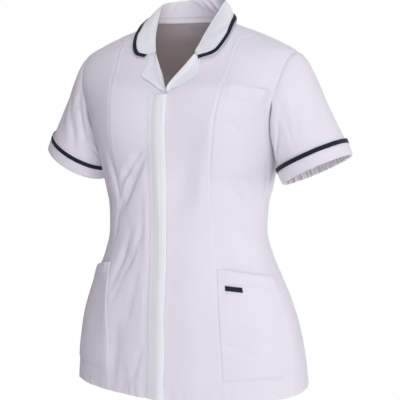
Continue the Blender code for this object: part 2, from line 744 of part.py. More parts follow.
def make_sleeves(cloth, navy):
    """Sleeves, turned-up cuff bands and their trim. The wearer's right ones are mirrored."""
    for shape in SLEEVES["rows"]:
        flip = shape[0] < 0
        word = "right" if flip else "left"
        mirror = np.array([shape[0], 1.0, 1.0])
        grid, seam_normals = sleeve_grid(shape)
        points = grid * mirror
        out = sleeve_normals(grid, seam_normals) * mirror
        layer_object("sleeve_" + word, points - out * CLOTH, out, CLOTH, cloth, flip, True)
        base = points[-3:] + out[-3:] * LAYER_GAP
        layer_object("cuff_" + word, base, out[-3:], CLOTH, cloth, flip, True)
        base = points[-3:-1] + out[-3:-1] * (2 * LAYER_GAP + CLOTH)
        layer_object("cuff_trim_" + word, base, out[-3:-1], TRIM_CLOTH, navy, flip, True)


def collar_stations(grids):
    """Neck edge of the panels, from the left gorge round the back to the right gorge."""
    left = grids["centre_left"][0]
    right = grids["centre_right"][0]
    back = grids["back"][0]
    gorge_row = len(left) - 1 - NECK_STEPS + GORGE_STEP
    first = len(shoulder_heights()) - 1
    last = back.shape[1] - 1 - first
    back_neck = back[-1, first:last + 1]
    left_part = left[gorge_row:, 0]
    right_part = right[gorge_row:, 0][::-1]
    return np.concatenate([left_part, back_neck[1:-1], right_part])


def collar_path(stations):
    """Rows of collar points, middle of the cloth: up the stand, over the roll, down the fall."""
    count = len(stations)
    middle = (count - 1) / 2
    paths = []
    for index, neck in enumerate(stations):
        place = COLLAR_BACK_STATION * (1 - abs(index - middle) / middle)
        side = 1 if index < middle else -1
        roll = np.array([smooth_read(COLLAR, "roll_" + axis, place) for axis in "xyz"])
        edge = np.array([smooth_read(COLLAR, "edge_" + axis, place) for axis in "xyz"])
        longer = smooth_read(FALL_EXTRA, "left" if side > 0 else "right", place)
        edge = edge + unit(edge - roll) * longer
        roll[0] = roll[0] * side
        edge[0] = edge[0] * side
        spread = unit(edge - neck)
        rise = roll - neck
        foot = neck + unit(rise) * COLLAR_FOOT_GAP
        below_roll = roll - unit(rise) * COLLAR_FOLD_HALF
        stand_top = below_roll - spread * COLLAR_FOLD_HALF / 2
        fall_top = below_roll + spread * COLLAR_FOLD_HALF
        bulge = unit(rise) * COLLAR_ARCH * np.linalg.norm(edge - fall_top)
        path = [foot, (foot + stand_top) / 2, stand_top, roll, fall_top]
        for share in FALL_SHARES:
            arch = 4 * share * (1 - share)
            path.append(fall_top * (1 - share) + edge * share + bulge * arch)
        paths.append(path)
    return np.array(paths).transpose(1, 0, 2)


def make_collar(grids, cloth, navy):
    """Stand and fall in one cloth, with the navy trim on the fall's outer edge."""
    path = collar_path(collar_stations(grids))
    normals = grid_normals(path)
    half = THIN_CLOTH / 2
    wall_object("collar", path + normals * half, path - normals * half, cloth)
    below = path[-1]
    width = np.linalg.norm(path[-1] - path[-2], axis=-1, keepdims=True)
    above = below + (path[-2] - below) * np.minimum(COLLAR_TRIM / width, 1.0)
    base = np.stack([above, below])
    out = -normals[-2:]
    base = base + out * (half + 2 * LAYER_GAP)
    wall_object("collar_trim", base, base + out * TRIM_CLOTH, navy)


def make_neck_loop(grids, grey):
    """The short strip inside the back, just under the neck seam."""
    base, out = patch_on(grids["back"], NECK_LOOP, -CLOTH - LAYER_GAP)
    wall_object("neck_loop", base, base - out * TRIM_CLOTH, grey)


def main():
    """Make every piece, the body panels first since the rest lies on them or is sewn to them."""
    clear_scene()
    cloth = cloth_material("white_cloth", WHITE_CLOTH, WHITE_ROUGHNESS)
    navy = cloth_material("navy_cloth", NAVY_CLOTH, TRIM_ROUGHNESS)
    grey = cloth_material("grey_cloth", GREY_CLOTH, TRIM_ROUGHNESS)
    grids = make_body(cloth)
    make_placket(grids, cloth)
    for word in ("right", "left"):
        make_lapel(word, grids, cloth)
    make_pockets(grids, cloth, navy)
    make_sleeves(cloth, navy)
    make_collar(grids, cloth, navy)
    make_neck_loop(grids, grey)


main()
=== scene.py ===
# %% [markdown]
# # A work tunic, filled out as it is worn
#
# The tunic is white polycotton with navy trim. It opens down the front under a placket, has a
# collar with short lapels, princess seams, short sleeves with turned-up cuffs, and three pockets.
# Nobody is in it: the cloth is a thin wall round a hollow.
#
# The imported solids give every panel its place. This lesson makes the cloth that shows: the same
# panels on a much finer grid, with their creases, rolled edges, seams, stitches and weave.

# %% Load the frame and note its size
import math

import bpy
import numpy as np
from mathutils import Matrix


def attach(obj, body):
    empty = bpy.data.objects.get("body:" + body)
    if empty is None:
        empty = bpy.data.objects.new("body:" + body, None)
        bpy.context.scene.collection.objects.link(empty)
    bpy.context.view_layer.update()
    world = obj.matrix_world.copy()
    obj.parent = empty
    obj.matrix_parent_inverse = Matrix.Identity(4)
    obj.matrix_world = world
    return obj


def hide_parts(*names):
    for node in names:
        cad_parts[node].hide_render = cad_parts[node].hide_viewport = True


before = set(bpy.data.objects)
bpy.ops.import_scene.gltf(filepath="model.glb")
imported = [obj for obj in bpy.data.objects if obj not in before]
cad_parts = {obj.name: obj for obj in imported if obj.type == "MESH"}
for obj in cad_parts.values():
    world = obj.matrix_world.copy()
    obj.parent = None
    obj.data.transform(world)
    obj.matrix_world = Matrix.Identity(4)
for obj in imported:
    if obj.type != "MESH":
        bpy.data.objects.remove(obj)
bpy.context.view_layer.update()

# %% Short ways to build materials and node trees
def add_node(tree, kind, values=()):
    """A new node in a tree, with some of its inputs set."""
    node = tree.nodes.new(kind)
    for name, value in dict(values).items():
        node.inputs[name].default_value = value
    return node


def join(tree, *pairs):
    """Link outputs to inputs."""
    for start, end in pairs:
        tree.links.new(start, end)


def new_finish(name, values):
    """A new material, with some inputs of its shader set."""
    material = bpy.data.materials.new(name)
    material.use_nodes = True
    shader = material.node_tree.nodes["Principled BSDF"]
    for socket, value in values.items():
        shader.inputs[socket].default_value = value
    return material, material.node_tree, shader


print("materials before the studio:", len(bpy.data.materials))

# %% [markdown]
# ## The camera and the light
#
# The photograph looks at the wearer's left front, a little from above. The camera's angle and
# distance were fitted to seams that are seen on both sides. A long lens keeps the sides parallel.
# The light is soft: six large lamps, the strongest at the wearer's left front, one low and one
# high to fill the shadows, and two behind the tunic. The backdrop is white only to the camera.

# %% Camera
CAMERA_TURN = 26.0
CAMERA_DISTANCE = 2.0
CAMERA_HEIGHT = -0.156
CAMERA_TILT = 4.38
CAMERA_SIDEWAYS = 0.0213
CAMERA_LENS = 102.1
CAMERA_SENSOR = 36.0


def place_camera():
    """Aim the camera at the tunic's axis from the photograph's side."""
    turn = math.radians(CAMERA_TURN)
    right = np.array((math.cos(turn), math.sin(turn), 0.0))
    ahead = np.array((-math.sin(turn), math.cos(turn), 0.0))
    place = right * CAMERA_SIDEWAYS - ahead * CAMERA_DISTANCE
    data = bpy.data.cameras.new("camera")
    data.lens = CAMERA_LENS
    data.sensor_width = CAMERA_SENSOR
    camera = bpy.data.objects.new("camera", data)
    camera.location = (place[0], place[1], CAMERA_HEIGHT)
    camera.rotation_euler = (math.radians(90 - CAMERA_TILT), 0.0, turn)
    bpy.context.collection.objects.link(camera)
    bpy.context.scene.camera = camera
    return camera


camera = place_camera()
print("camera at", [round(v, 3) for v in camera.location])

# %% Floor, sky and lamps
FLOOR_LEVEL = -1.60
FLOOR_REACH = 12.0
FLOOR_COLOUR = (0.95, 0.95, 0.95, 1.0)
LAMP_DISTANCE = 2.8
LAMP_WIDTH = 1.8
LAMP_AIM = (0.0, 0.0, -0.3)
LAMPS = {
    "columns": ("name", "turn", "rise", "watts", "colour"),
    "rows": (
        ("front", 15.0, 5.0, 9.0, (1.0, 1.0, 0.98)),
        ("key", 42.0, 5.0, 30.5, (1.0, 1.0, 1.0)),
        ("low", 40.0, -35.0, 14.5, (1.0, 0.97, 0.94)),
        ("top", 20.0, 65.0, 25.0, (0.98, 1.0, 1.0)),
        ("behind", 130.0, 10.0, 27.0, (0.99, 1.0, 0.98)),
        ("rear", 205.0, 20.0, 23.0, (1.0, 1.0, 1.0)),
    ),
}
SKY_COLOUR = (0.95, 0.85, 1.0, 1.0)
SKY_STRENGTH = 0.235
WHITE = (1.0, 1.0, 1.0, 1.0)


def lamp_place(turn, rise):
    """Place of a lamp at an angle round from the front and an angle above level."""
    turn = math.radians(turn)
    rise = math.radians(rise)
    flat = LAMP_DISTANCE * math.cos(rise)
    level = LAMP_AIM[2] + LAMP_DISTANCE * math.sin(rise)
    return flat * math.sin(turn), -flat * math.cos(turn), level


def seen_white(tree, lit, kind, output):
    """Let a backdrop look white to the camera, and light the tunic only as strongly as it should."""
    seen = add_node(tree, kind, {"Color": WHITE, "Strength": 1.0})
    path = add_node(tree, "ShaderNodeLightPath")
    mix = add_node(tree, "ShaderNodeMixShader")
    join(
        tree,
        (path.outputs["Is Camera Ray"], mix.inputs[0]),
        (lit.outputs[0], mix.inputs[1]),
        (seen.outputs[0], mix.inputs[2]),
        (mix.outputs[0], output.inputs["Surface"]),
    )


def make_floor():
    """A pale floor well below the hem."""
    mesh = bpy.data.meshes.new("floor")
    signs = ((-1, -1), (1, -1), (1, 1), (-1, 1))
    corners = [(x * FLOOR_REACH, y * FLOOR_REACH, FLOOR_LEVEL) for x, y in signs]
    mesh.from_pydata(corners, [], [(0, 1, 2, 3)])
    floor = bpy.data.objects.new("floor", mesh)
    bpy.context.collection.objects.link(floor)
    paint, tree, shader = new_finish("pale_floor", {"Base Color": FLOOR_COLOUR, "Roughness": 1.0})
    seen_white(tree, shader, "ShaderNodeEmission", tree.nodes["Material Output"])
    mesh.materials.append(paint)


def make_studio():
    """Floor, soft lamps that all point at the tunic's middle, and a pale sky."""
    make_floor()
    for name, turn, rise, watts, colour in LAMPS["rows"]:
        data = bpy.data.lights.new(name, "AREA")
        data.size = LAMP_WIDTH
        data.energy = watts
        data.color = colour
        lamp = bpy.data.objects.new(name, data)
        lamp.location = lamp_place(turn, rise)
        lamp.rotation_euler = (math.radians(90 - rise), 0.0, math.radians(turn))
        bpy.context.collection.objects.link(lamp)
    world = bpy.data.worlds.new("studio")
    world.use_nodes = True
    tree = world.node_tree
    sky = tree.nodes["Background"]
    sky.inputs["Color"].default_value = SKY_COLOUR
    sky.inputs["Strength"].default_value = SKY_STRENGTH
    seen_white(tree, sky, "ShaderNodeBackground", tree.nodes["World Output"])
    bpy.context.scene.world = world
    bpy.context.scene.view_settings.view_transform = "Standard"


make_studio()
print("lamps:", len(LAMPS["rows"]))

# %% [markdown]
# ## The tunic's form
#
# A filled-out tunic is a stack of ovals. Each row of the table is one oval: its level, its half
# width, how deep it is in front and behind, and how square its corners are. Between the rows a
# smooth curve is read. The seams are lines drawn on this form, so panels that meet always fit.
# The solids were made from nearly the same tables. Here some rows lie a few millimetres off
# theirs, where that meets the photograph more closely.

# %% Sizes and sections
HEM_LEVEL = -0.640
HEM_SIDE_RISE = 0.0065
HEM_EASE = 0.20
WAIST_LEVEL = -0.360
UNDERARM_LEVEL = -0.205
SHOULDER_LEVEL = -0.053
NECK_LEVEL = 0.0055
PLACKET_HALF_WIDTH = 0.015
UNDERLAP_EDGE = -0.010
UNDERLAP_DEPTH = 0.0017
UNDERLAP_EASE = (0.001, 0.060)
UNDERLAP_TOP = (-0.104, -0.080)
ARMHOLE_HALF_HEIGHT = (SHOULDER_LEVEL - UNDERARM_LEVEL) / 2
ARMHOLE_MIDDLE = (SHOULDER_LEVEL + UNDERARM_LEVEL) / 2
ARMHOLE_FRONT = 0.050
ARMHOLE_BACK = 0.054
NORMAL_STEP = 0.004
SMALLEST_LENGTH = 1e-12

SECTIONS = {
    "columns": ("height", "half_width", "front_depth", "back_depth", "centre_y", "squareness"),
    "rows": (
        (-0.660, 0.2155, 0.1150, 0.2030, 0.000, 2.15),
        (-0.600, 0.2115, 0.1145, 0.1910, 0.000, 2.15),
        (-0.560, 0.2065, 0.1140, 0.1780, 0.000, 2.15),
        (-0.520, 0.1995, 0.1135, 0.1590, 0.000, 2.15),
        (-0.480, 0.1870, 0.1130, 0.1430, 0.000, 2.15),
        (-0.440, 0.1705, 0.1125, 0.1280, 0.000, 2.15),
        (-0.400, 0.1525, 0.1120, 0.1200, 0.000, 2.15),
        (-0.360, 0.1420, 0.1110, 0.1140, 0.000, 2.20),
        (-0.320, 0.1430, 0.1105, 0.1230, 0.000, 2.20),
        (-0.280, 0.1510, 0.1110, 0.1330, 0.000, 2.25),
        (-0.240, 0.1590, 0.1130, 0.1260, 0.000, 2.35),
        (-0.205, 0.1665, 0.1140, 0.1150, 0.000, 2.40),
        (-0.170, 0.1780, 0.1130, 0.1080, 0.000, 2.40),
        (-0.140, 0.1900, 0.1090, 0.1030, 0.000, 2.40),
        (-0.118, 0.1995, 0.1035, 0.0980, 0.000, 2.40),
        (-0.086, 0.2110, 0.0820, 0.0890, 0.003, 2.40),
        (-0.068, 0.2085, 0.0725, 0.0800, 0.005, 2.35),
        (-0.053, 0.2000, 0.0650, 0.0725, 0.007, 2.30),
        (-0.035, 0.1690, 0.0530, 0.0640, 0.009, 2.20),
        (-0.020, 0.1345, 0.0430, 0.0570, 0.010, 2.10),
        (-0.003, 0.0890, 0.0300, 0.0510, 0.011, 2.00),
        (0.010, 0.0588, 0.0200, 0.0470, 0.012, 2.00),
    ),
}

PRINCESS_SEAM = {
    "columns": ("height", "left", "right"),
    "rows": (
        (-0.660, 0.1180, 0.1010),
        (-0.550, 0.1090, 0.1015),
        (-0.480, 0.1035, 0.1040),
        (-0.415, 0.0980, 0.1055),
        (-0.350, 0.0915, 0.0940),
        (-0.300, 0.0880, 0.0890),
        (-0.240, 0.0900, 0.0930),
        (-0.205, 0.0935, 0.0930),
        (-0.165, 0.0985, 0.0910),
        (-0.125, 0.1060, 0.0950),
        (-0.090, 0.1110, 0.1050),
        (-0.045, 0.1130, 0.1130),
        (-0.014, 0.1142, 0.1142),
    ),
}
PRINCESS_TOP = -0.014
BUST_ACROSS = 0.088
BUST_LEVEL = -0.165
BUST_REACH = 0.058
BUST_FULLNESS = 0.009
BUST_FRONT = (0.01, 0.05)
print("sections:", len(SECTIONS["rows"]))

# %% Reading a table, and the oval at a level
def smooth_read(table, name, at):
    """Read a table's column at any place, along a smooth curve through its rows."""
    keys = np.array([row[0] for row in table["rows"]])
    column = table["columns"].index(name)
    values = np.array([row[column] for row in table["rows"]])
    at = np.clip(np.asarray(at, dtype=float), keys[0], keys[-1])
    steps = np.diff(keys)
    rises = np.diff(values) / steps
    slopes = np.zeros(len(keys))
    slopes[0] = rises[0]
    slopes[-1] = rises[-1]
    for i in range(1, len(keys) - 1):
        if rises[i - 1] * rises[i] > 0:
            before = 2 * steps[i] + steps[i - 1]
            after = steps[i] + 2 * steps[i - 1]
            slopes[i] = (before + after) / (before / rises[i - 1] + after / rises[i])
    i = np.clip(np.searchsorted(keys, at, side="right") - 1, 0, len(steps) - 1)
    t = (at - keys[i]) / steps[i]
    value = (1 + 2 * t) * (1 - t) ** 2 * values[i]
    value += t * (1 - t) ** 2 * steps[i] * slopes[i]
    value += t * t * (3 - 2 * t) * values[i + 1]
    value -= t * t * (1 - t) * steps[i] * slopes[i + 1]
    return value


def ramp(value, start, end):
    """0 before start, 1 after end, a smooth rise between."""
    t = np.clip((value - start) / (end - start), 0.0, 1.0)
    return t * t * (3 - 2 * t)


def hump(away, reach):
    """1 where away is 0, fading out on both sides."""
    return np.exp(-((away / reach) ** 2))


def between(start, end, share):
    """The value at a share of the way from start to end."""
    return start + share * (end - start)


def wrapped(angle):
    """The same angle, within half a turn either way."""
    return (angle + math.pi) % (2 * math.pi) - math.pi


def unit(vectors):
    """Vectors at length one."""
    lengths = np.linalg.norm(vectors, axis=-1, keepdims=True)
    return vectors / np.maximum(lengths, SMALLEST_LENGTH)


def angle_at(across, height):
    """Angle round the front at which the form is this far from the centre line."""
    share = np.clip(np.abs(across) / smooth_read(SECTIONS, "half_width", height), 0.0, 1.0)
    power = smooth_read(SECTIONS, "squareness", height) / 2
    return np.sign(across) * np.arcsin(share ** power)


def oval_point(angle, height):
    """Point of the oval section at an angle from the centre front, + to the wearer's left."""
    power = 2 / smooth_read(SECTIONS, "squareness", height)
    side = np.sin(angle)
    front = np.cos(angle)
    front_depth = smooth_read(SECTIONS, "front_depth", height)
    back_depth = smooth_read(SECTIONS, "back_depth", height)
    depth = np.where(front > 0, front_depth, back_depth)
    x = smooth_read(SECTIONS, "half_width", height) * np.sign(side) * np.abs(side) ** power
    y = smooth_read(SECTIONS, "centre_y", height) - depth * np.sign(front) * np.abs(front) ** power
    return np.stack([x, y, height + 0 * x], axis=-1)


def oval_normal(angle, height):
    """Outward direction of the form, from points close by."""
    round_step = oval_point(angle + NORMAL_STEP, height) - oval_point(angle - NORMAL_STEP, height)
    up_step = oval_point(angle, height + NORMAL_STEP) - oval_point(angle, height - NORMAL_STEP)
    return unit(np.cross(round_step, up_step))


print("half width at the waist: %.3f m" % smooth_read(SECTIONS, "half_width", WAIST_LEVEL))

# %% [markdown]
# ## Folds and creases
#
# Cloth that hangs on a body shows a few large soft folds, and between them smaller creases that
# run to where the cloth is pulled: the underarm, the waist and the bust. Each is a soft trough,
# or with a depth below zero a soft ridge. They are placed in two tables, the large ones as in the
# solids and the small ones as the photograph shows them. The back and the far side are out of
# sight there, so they get similar ones.

# %% Fold tables
FOLDS = {
    "columns": ("start_angle", "start_height", "end_angle", "end_height", "reach", "depth"),
    "rows": (
        (-7.0, -0.225, -32.0, -0.325, 0.011, 0.0028),
        (-34.0, -0.235, -33.0, -0.310, 0.011, 0.0026),
        (-48.0, -0.235, -60.0, -0.330, 0.012, 0.0032),
        (-22.0, -0.360, -31.0, -0.455, 0.011, 0.0026),
        (-23.0, -0.490, -24.0, -0.640, 0.014, 0.0028),
        (18.0, -0.140, 14.0, -0.370, 0.022, 0.0026),
        (42.0, -0.262, 66.0, -0.315, 0.011, 0.0018),
        (70.0, -0.300, 88.0, -0.350, 0.014, 0.0028),
        (78.0, -0.470, 74.0, -0.640, 0.016, 0.0032),
        (150.0, -0.400, 146.0, -0.650, 0.020, 0.0045),
        (-150.0, -0.420, -143.0, -0.650, 0.020, 0.0045),
        (165.0, -0.300, 120.0, -0.350, 0.014, 0.0030),
        (-165.0, -0.310, -122.0, -0.345, 0.014, 0.0030),
    ),
}
# Angles are turned into lengths round a body of this radius
FOLD_GIRTH_RADIUS = 0.145
# A fold's depth at its ends, as a share of its depth in the middle
FOLD_END_SHARE = 0.35

# Small creases: three places that the trough runs through, how far it reaches on its low side
# (towards the wearer's right, or down) and on its high side, and its depth
CREASES = {
    "columns": ("angle_1", "height_1", "angle_2", "height_2", "angle_3", "height_3",
                "low_reach", "high_reach", "depth"),
    "rows": (
        # beside the placket, top to hem
        (-5.0, -0.125, -6.0, -0.220, -5.5, -0.330, 0.0035, 0.0110, 0.0006),
        (-6.0, -0.290, -6.0, -0.420, -5.5, -0.560, 0.0030, 0.0150, 0.0013),
        (-6.0, -0.520, -5.5, -0.590, -5.0, -0.660, 0.0040, 0.0120, 0.0012),
        # pulled from the placket down to the waist
        (-6.0, -0.226, -15.0, -0.268, -31.0, -0.322, 0.0110, 0.0034, 0.0036),
        (-6.5, -0.214, -14.0, -0.238, -25.0, -0.272, 0.0080, 0.0030, 0.0025),
        (-17.0, -0.242, -24.0, -0.264, -32.0, -0.294, 0.0065, 0.0030, 0.0021),
        (-34.0, -0.226, -35.0, -0.268, -34.0, -0.306, 0.0070, 0.0035, 0.0022),
        (-30.0, -0.300, -37.0, -0.335, -41.0, -0.375, 0.0080, 0.0045, 0.0018),
        # down the front at the waist and hip
        (-11.0, -0.300, -11.5, -0.350, -12.5, -0.400, 0.0090, 0.0022, 0.0015),
        (-22.0, -0.355, -28.0, -0.405, -31.0, -0.460, 0.0080, 0.0036, 0.0021),
        (-13.0, -0.358, -17.0, -0.392, -22.0, -0.428, 0.0070, 0.0030, 0.0016),
        (-19.0, -0.400, -24.0, -0.440, -29.0, -0.490, 0.0060, 0.0032, 0.0014),
        (-13.0, -0.420, -15.0, -0.475, -17.5, -0.525, 0.0090, 0.0045, 0.0012),
        (-8.0, -0.548, -9.0, -0.585, -12.0, -0.618, 0.0060, 0.0030, 0.0016),
        (-17.0, -0.590, -16.0, -0.620, -17.0, -0.650, 0.0070, 0.0040, 0.0014),
        (-24.0, -0.520, -23.0, -0.580, -25.0, -0.650, 0.0110, 0.0060, 0.0015),
        # the hip stands out along the right princess seam
        (-40.0, -0.400, -30.0, -0.515, -26.5, -0.640, 0.0240, 0.0300, -0.0028),
        (-40.0, -0.410, -31.0, -0.515, -27.0, -0.640, 0.0110, 0.0300, -0.0020),
        # the bust stands out along the right princess seam
        (-27.5, -0.075, -24.5, -0.150, -30.0, -0.235, 0.0180, 0.0240, -0.0022),
        # the overlap stands out at the hem
        (1.0, -0.440, 1.0, -0.600, 1.0, -0.760, 0.0380, 0.0550, -0.0075),
        # under the turned-back front
        (-16.0, -0.104, -9.0, -0.116, -4.0, -0.138, 0.0045, 0.0035, 0.0010),
        (-10.0, -0.102, -4.5, -0.117, -0.5, -0.138, 0.0035, 0.0030, 0.0008),
        # the wearer's left front: bust to waist, and under the pocket
        (18.0, -0.110, 16.0, -0.215, 11.0, -0.330, 0.0260, 0.0200, 0.0026),
        (30.0, -0.110, 27.0, -0.215, 26.0, -0.330, 0.0110, 0.0130, -0.0010),
        (33.0, -0.268, 50.0, -0.270, 82.0, -0.250, 0.0070, 0.0030, 0.0012),
        (30.0, -0.536, 43.0, -0.553, 56.0, -0.578, 0.0070, 0.0060, 0.0012),
        (32.0, -0.506, 43.0, -0.514, 58.0, -0.528, 0.0050, 0.0060, 0.0008),
        (50.0, -0.590, 62.0, -0.602, 76.0, -0.606, 0.0060, 0.0060, 0.0008),
        (92.0, -0.462, 100.0, -0.492, 110.0, -0.536, 0.0040, 0.0030, 0.0020),
        (42.0, -0.262, 52.0, -0.286, 66.0, -0.312, 0.0050, 0.0080, 0.0016),
        (58.0, -0.252, 69.0, -0.267, 82.0, -0.288, 0.0050, 0.0070, 0.0014),
        (36.0, -0.172, 50.0, -0.190, 60.0, -0.214, 0.0060, 0.0110, 0.0009),
        (56.0, -0.350, 70.0, -0.361, 86.0, -0.382, 0.0060, 0.0080, 0.0011),
        (60.0, -0.325, 74.0, -0.333, 88.0, -0.352, 0.0060, 0.0080, 0.0010),
        # the side below the left underarm
        (80.0, -0.215, 86.0, -0.255, 92.0, -0.310, 0.0040, 0.0060, 0.0016),
        (92.0, -0.212, 96.0, -0.245, 100.0, -0.290, 0.0050, 0.0060, 0.0016),
        # hip and hem of the left front
        (26.0, -0.470, 25.0, -0.550, 25.5, -0.650, 0.0120, 0.0140, 0.0010),
        (60.0, -0.500, 57.0, -0.560, 58.0, -0.650, 0.0120, 0.0120, 0.0014),
        # the side below the right underarm and the right hip
        (-78.0, -0.215, -86.0, -0.255, -92.0, -0.310, 0.0060, 0.0045, 0.0018),
        (-62.0, -0.222, -68.0, -0.265, -74.0, -0.320, 0.0070, 0.0050, 0.0018),
        (-66.0, -0.350, -76.0, -0.365, -92.0, -0.372, 0.0060, 0.0080, 0.0014),
        (-84.0, -0.480, -80.0, -0.560, -82.0, -0.650, 0.0120, 0.0110, 0.0018),
        # the back: across the small of it, down from the shoulder blades, and at the hem
        (120.0, -0.300, 150.0, -0.312, 178.0, -0.306, 0.0060, 0.0090, 0.0018),
        (140.0, -0.345, 165.0, -0.352, 200.0, -0.342, 0.0060, 0.0090, 0.0016),
        (182.0, -0.318, 212.0, -0.326, 240.0, -0.312, 0.0060, 0.0090, 0.0018),
        (128.0, -0.370, 150.0, -0.380, 172.0, -0.376, 0.0060, 0.0080, 0.0013),
        (196.0, -0.384, 218.0, -0.378, 238.0, -0.366, 0.0060, 0.0080, 0.0013),
        (108.0, -0.150, 122.0, -0.200, 140.0, -0.262, 0.0080, 0.0060, 0.0018),
        (252.0, -0.150, 238.0, -0.200, 222.0, -0.262, 0.0060, 0.0080, 0.0018),
        (114.0, -0.215, 124.0, -0.250, 134.0, -0.292, 0.0060, 0.0050, 0.0014),
        (246.0, -0.215, 235.0, -0.250, 226.0, -0.292, 0.0050, 0.0060, 0.0014),
        (168.0, -0.440, 166.0, -0.540, 168.0, -0.655, 0.0140, 0.0120, 0.0022),
        (196.0, -0.460, 198.0, -0.550, 196.0, -0.655, 0.0120, 0.0140, 0.0020),
        (126.0, -0.470, 122.0, -0.560, 120.0, -0.655, 0.0140, 0.0110, 0.0020),
        (236.0, -0.480, 240.0, -0.560, 242.0, -0.655, 0.0110, 0.0140, 0.0020),
    ),
}
# Along a crease 0 is its first place and 1 its third: where its line is bent, and where it fades
CREASE_BEND = (-0.2, 1.2)
CREASE_COMES = (-0.12, 0.28)
CREASE_GOES = (0.72, 1.12)
CREASE_WAVER = 0.22
CREASE_WAVER_RATE = 11.0


def fold_depth(angle, height):
    """How far the soft folds press the cloth in."""
    girth = angle * FOLD_GIRTH_RADIUS
    total = 0 * girth
    for start_angle, start_height, end_angle, end_height, reach, depth in FOLDS["rows"]:
        ax = math.radians(start_angle) * FOLD_GIRTH_RADIUS
        bx = math.radians(end_angle) * FOLD_GIRTH_RADIUS
        run_x = bx - ax
        run_z = end_height - start_height
        along = ((girth - ax) * run_x + (height - start_height) * run_z) / (run_x ** 2 + run_z ** 2)
        held = np.clip(along, 0.0, 1.0)
        away = np.hypot(girth - ax - held * run_x, height - start_height - held * run_z)
        swell = between(FOLD_END_SHARE, 1, np.sin(math.pi * held) ** 2)
        total = total + depth * swell * hump(away, reach)
    return total


def crease_depth(angle, height):
    """How far the small creases press the cloth in. Each is a bent line with two unlike sides."""
    total = 0 * angle * height
    for *places, low_reach, high_reach, depth in CREASES["rows"]:
        angles = np.radians(places[::2])
        girths = (angles - angles[1]) * FOLD_GIRTH_RADIUS
        heights = np.array(places[1::2])
        girth = wrapped(angle - angles[1]) * FOLD_GIRTH_RADIUS
        upright = abs(heights[2] - heights[0]) > abs(girths[2] - girths[0])
        run, rise = (heights, girths) if upright else (girths, heights)
        along, across = (height, girth) if upright else (girth, height)
        length = run[2] - run[0]
        share = (along - run[0]) / length
        held = np.clip(share, *CREASE_BEND)
        middle = (run[1] - run[0]) / length
        bow = (rise[1] - rise[0] - (rise[2] - rise[0]) * middle) / (middle * (1 - middle))
        line = rise[0] + (rise[2] - rise[0]) * held + bow * held * (1 - held)
        slope = (rise[2] - rise[0] + bow * (1 - 2 * held)) / length
        away = (across - line) / np.hypot(1.0, slope)
        reach = np.where(away < 0, low_reach, high_reach)
        fade = ramp(share, *CREASE_COMES) * (1 - ramp(share, *CREASE_GOES))
        uneven = 1 + CREASE_WAVER * np.sin(share * CREASE_WAVER_RATE + places[0])
        total = total + depth * fade * uneven * hump(away, reach)
    return total


print("large folds:", len(FOLDS["rows"]), "small creases:", len(CREASES["rows"]))

# %% The worn form
GIRTH_POINTS = 361


def bust_fullness(point):
    """How far the princess seams let the front stand out over the bust."""
    across = np.abs(point[..., 0]) - BUST_ACROSS
    away = np.hypot(across, point[..., 2] - BUST_LEVEL)
    on_front = ramp(-point[..., 1], *BUST_FRONT)
    return BUST_FULLNESS * on_front * hump(away, BUST_REACH)


def worn(angle, height):
    """Point and outward direction of the worn cloth: the ovals, the bust, folds and creases."""
    angle = np.asarray(angle, dtype=float)
    height = np.asarray(height, dtype=float) + 0 * angle
    point = oval_point(angle, height)
    normal = oval_normal(angle, height)
    turn = wrapped(angle)
    out = bust_fullness(point) - fold_depth(turn, height) - crease_depth(turn, height)
    return point + normal * out[..., None], normal


def girth(level):
    """Length round the worn form at a level."""
    ring = worn(np.linspace(0, 2 * math.pi, GIRTH_POINTS), np.full(GIRTH_POINTS, level))[0]
    return np.linalg.norm(np.diff(ring, axis=0), axis=1).sum()


print("round the bust: %.3f m, waist: %.3f m" % (girth(BUST_LEVEL), girth(WAIST_LEVEL)))

# %% [markdown]
# ## Seam lines as places on the form
#
# A panel is a stretch of the form between two seams. Its places are numbered: rows go from the
# hem (0) past the underarm (13) to the shoulder (25), and columns from one seam to the next.
# Because rows and columns may be any number, the same panel can be read finely for the cloth, or
# along one line for a row of stitches.

# %% Rows, edges and panels
UNDERARM_ROW = 13
BREAK_ROW = 17
GORGE_ROW = 21
TOP_ROW = 25
CENTRE_COLUMNS = 7
PLACKET_COLUMNS = 2
SIDE_COLUMNS = 5
BACK_HALF_COLUMNS = 13
BACK_NECK_START = 7
BREAK_EASE_ROWS = 3

NECK_EDGE_RIGHT = {
    "columns": ("step", "across", "height"),
    "rows": (
        (0.0, 0.0150, -0.124),
        (2.0, -0.0050, -0.093),
        (4.0, -0.0335, -0.056),
        (6.0, -0.0520, -0.026),
        (8.0, -0.0685, 0.0055),
    ),
}
NECK_EDGE_LEFT = {
    "columns": ("step", "across", "height"),
    "rows": (
        (0.0, -0.0040, -0.133),
        (2.0, 0.0205, -0.093),
        (4.0, 0.0425, -0.056),
        (6.0, 0.0540, -0.026),
        (8.0, 0.0685, 0.0055),
    ),
}


def hem_level(angle):
    """The hem rises a little at the sides."""
    return HEM_LEVEL + HEM_SIDE_RISE * np.sin(angle) ** 2


def dropped_to_hem(angles, heights):
    """Lower the bottom rows to the hem's own line, less and less up to the waist."""
    share = 1 - ramp(heights, HEM_LEVEL, HEM_LEVEL + HEM_EASE)
    return heights + (hem_level(angles) - HEM_LEVEL) * share


def above_underarm(rows):
    """Share of the way from the underarm row to the top row."""
    return (rows - UNDERARM_ROW) / (TOP_ROW - UNDERARM_ROW)


def level_of(rows):
    """Height of a row on the princess seam."""
    low = between(HEM_LEVEL, UNDERARM_LEVEL, rows / UNDERARM_ROW)
    high = between(UNDERARM_LEVEL, PRINCESS_TOP, above_underarm(rows))
    return np.where(rows <= UNDERARM_ROW, low, high)


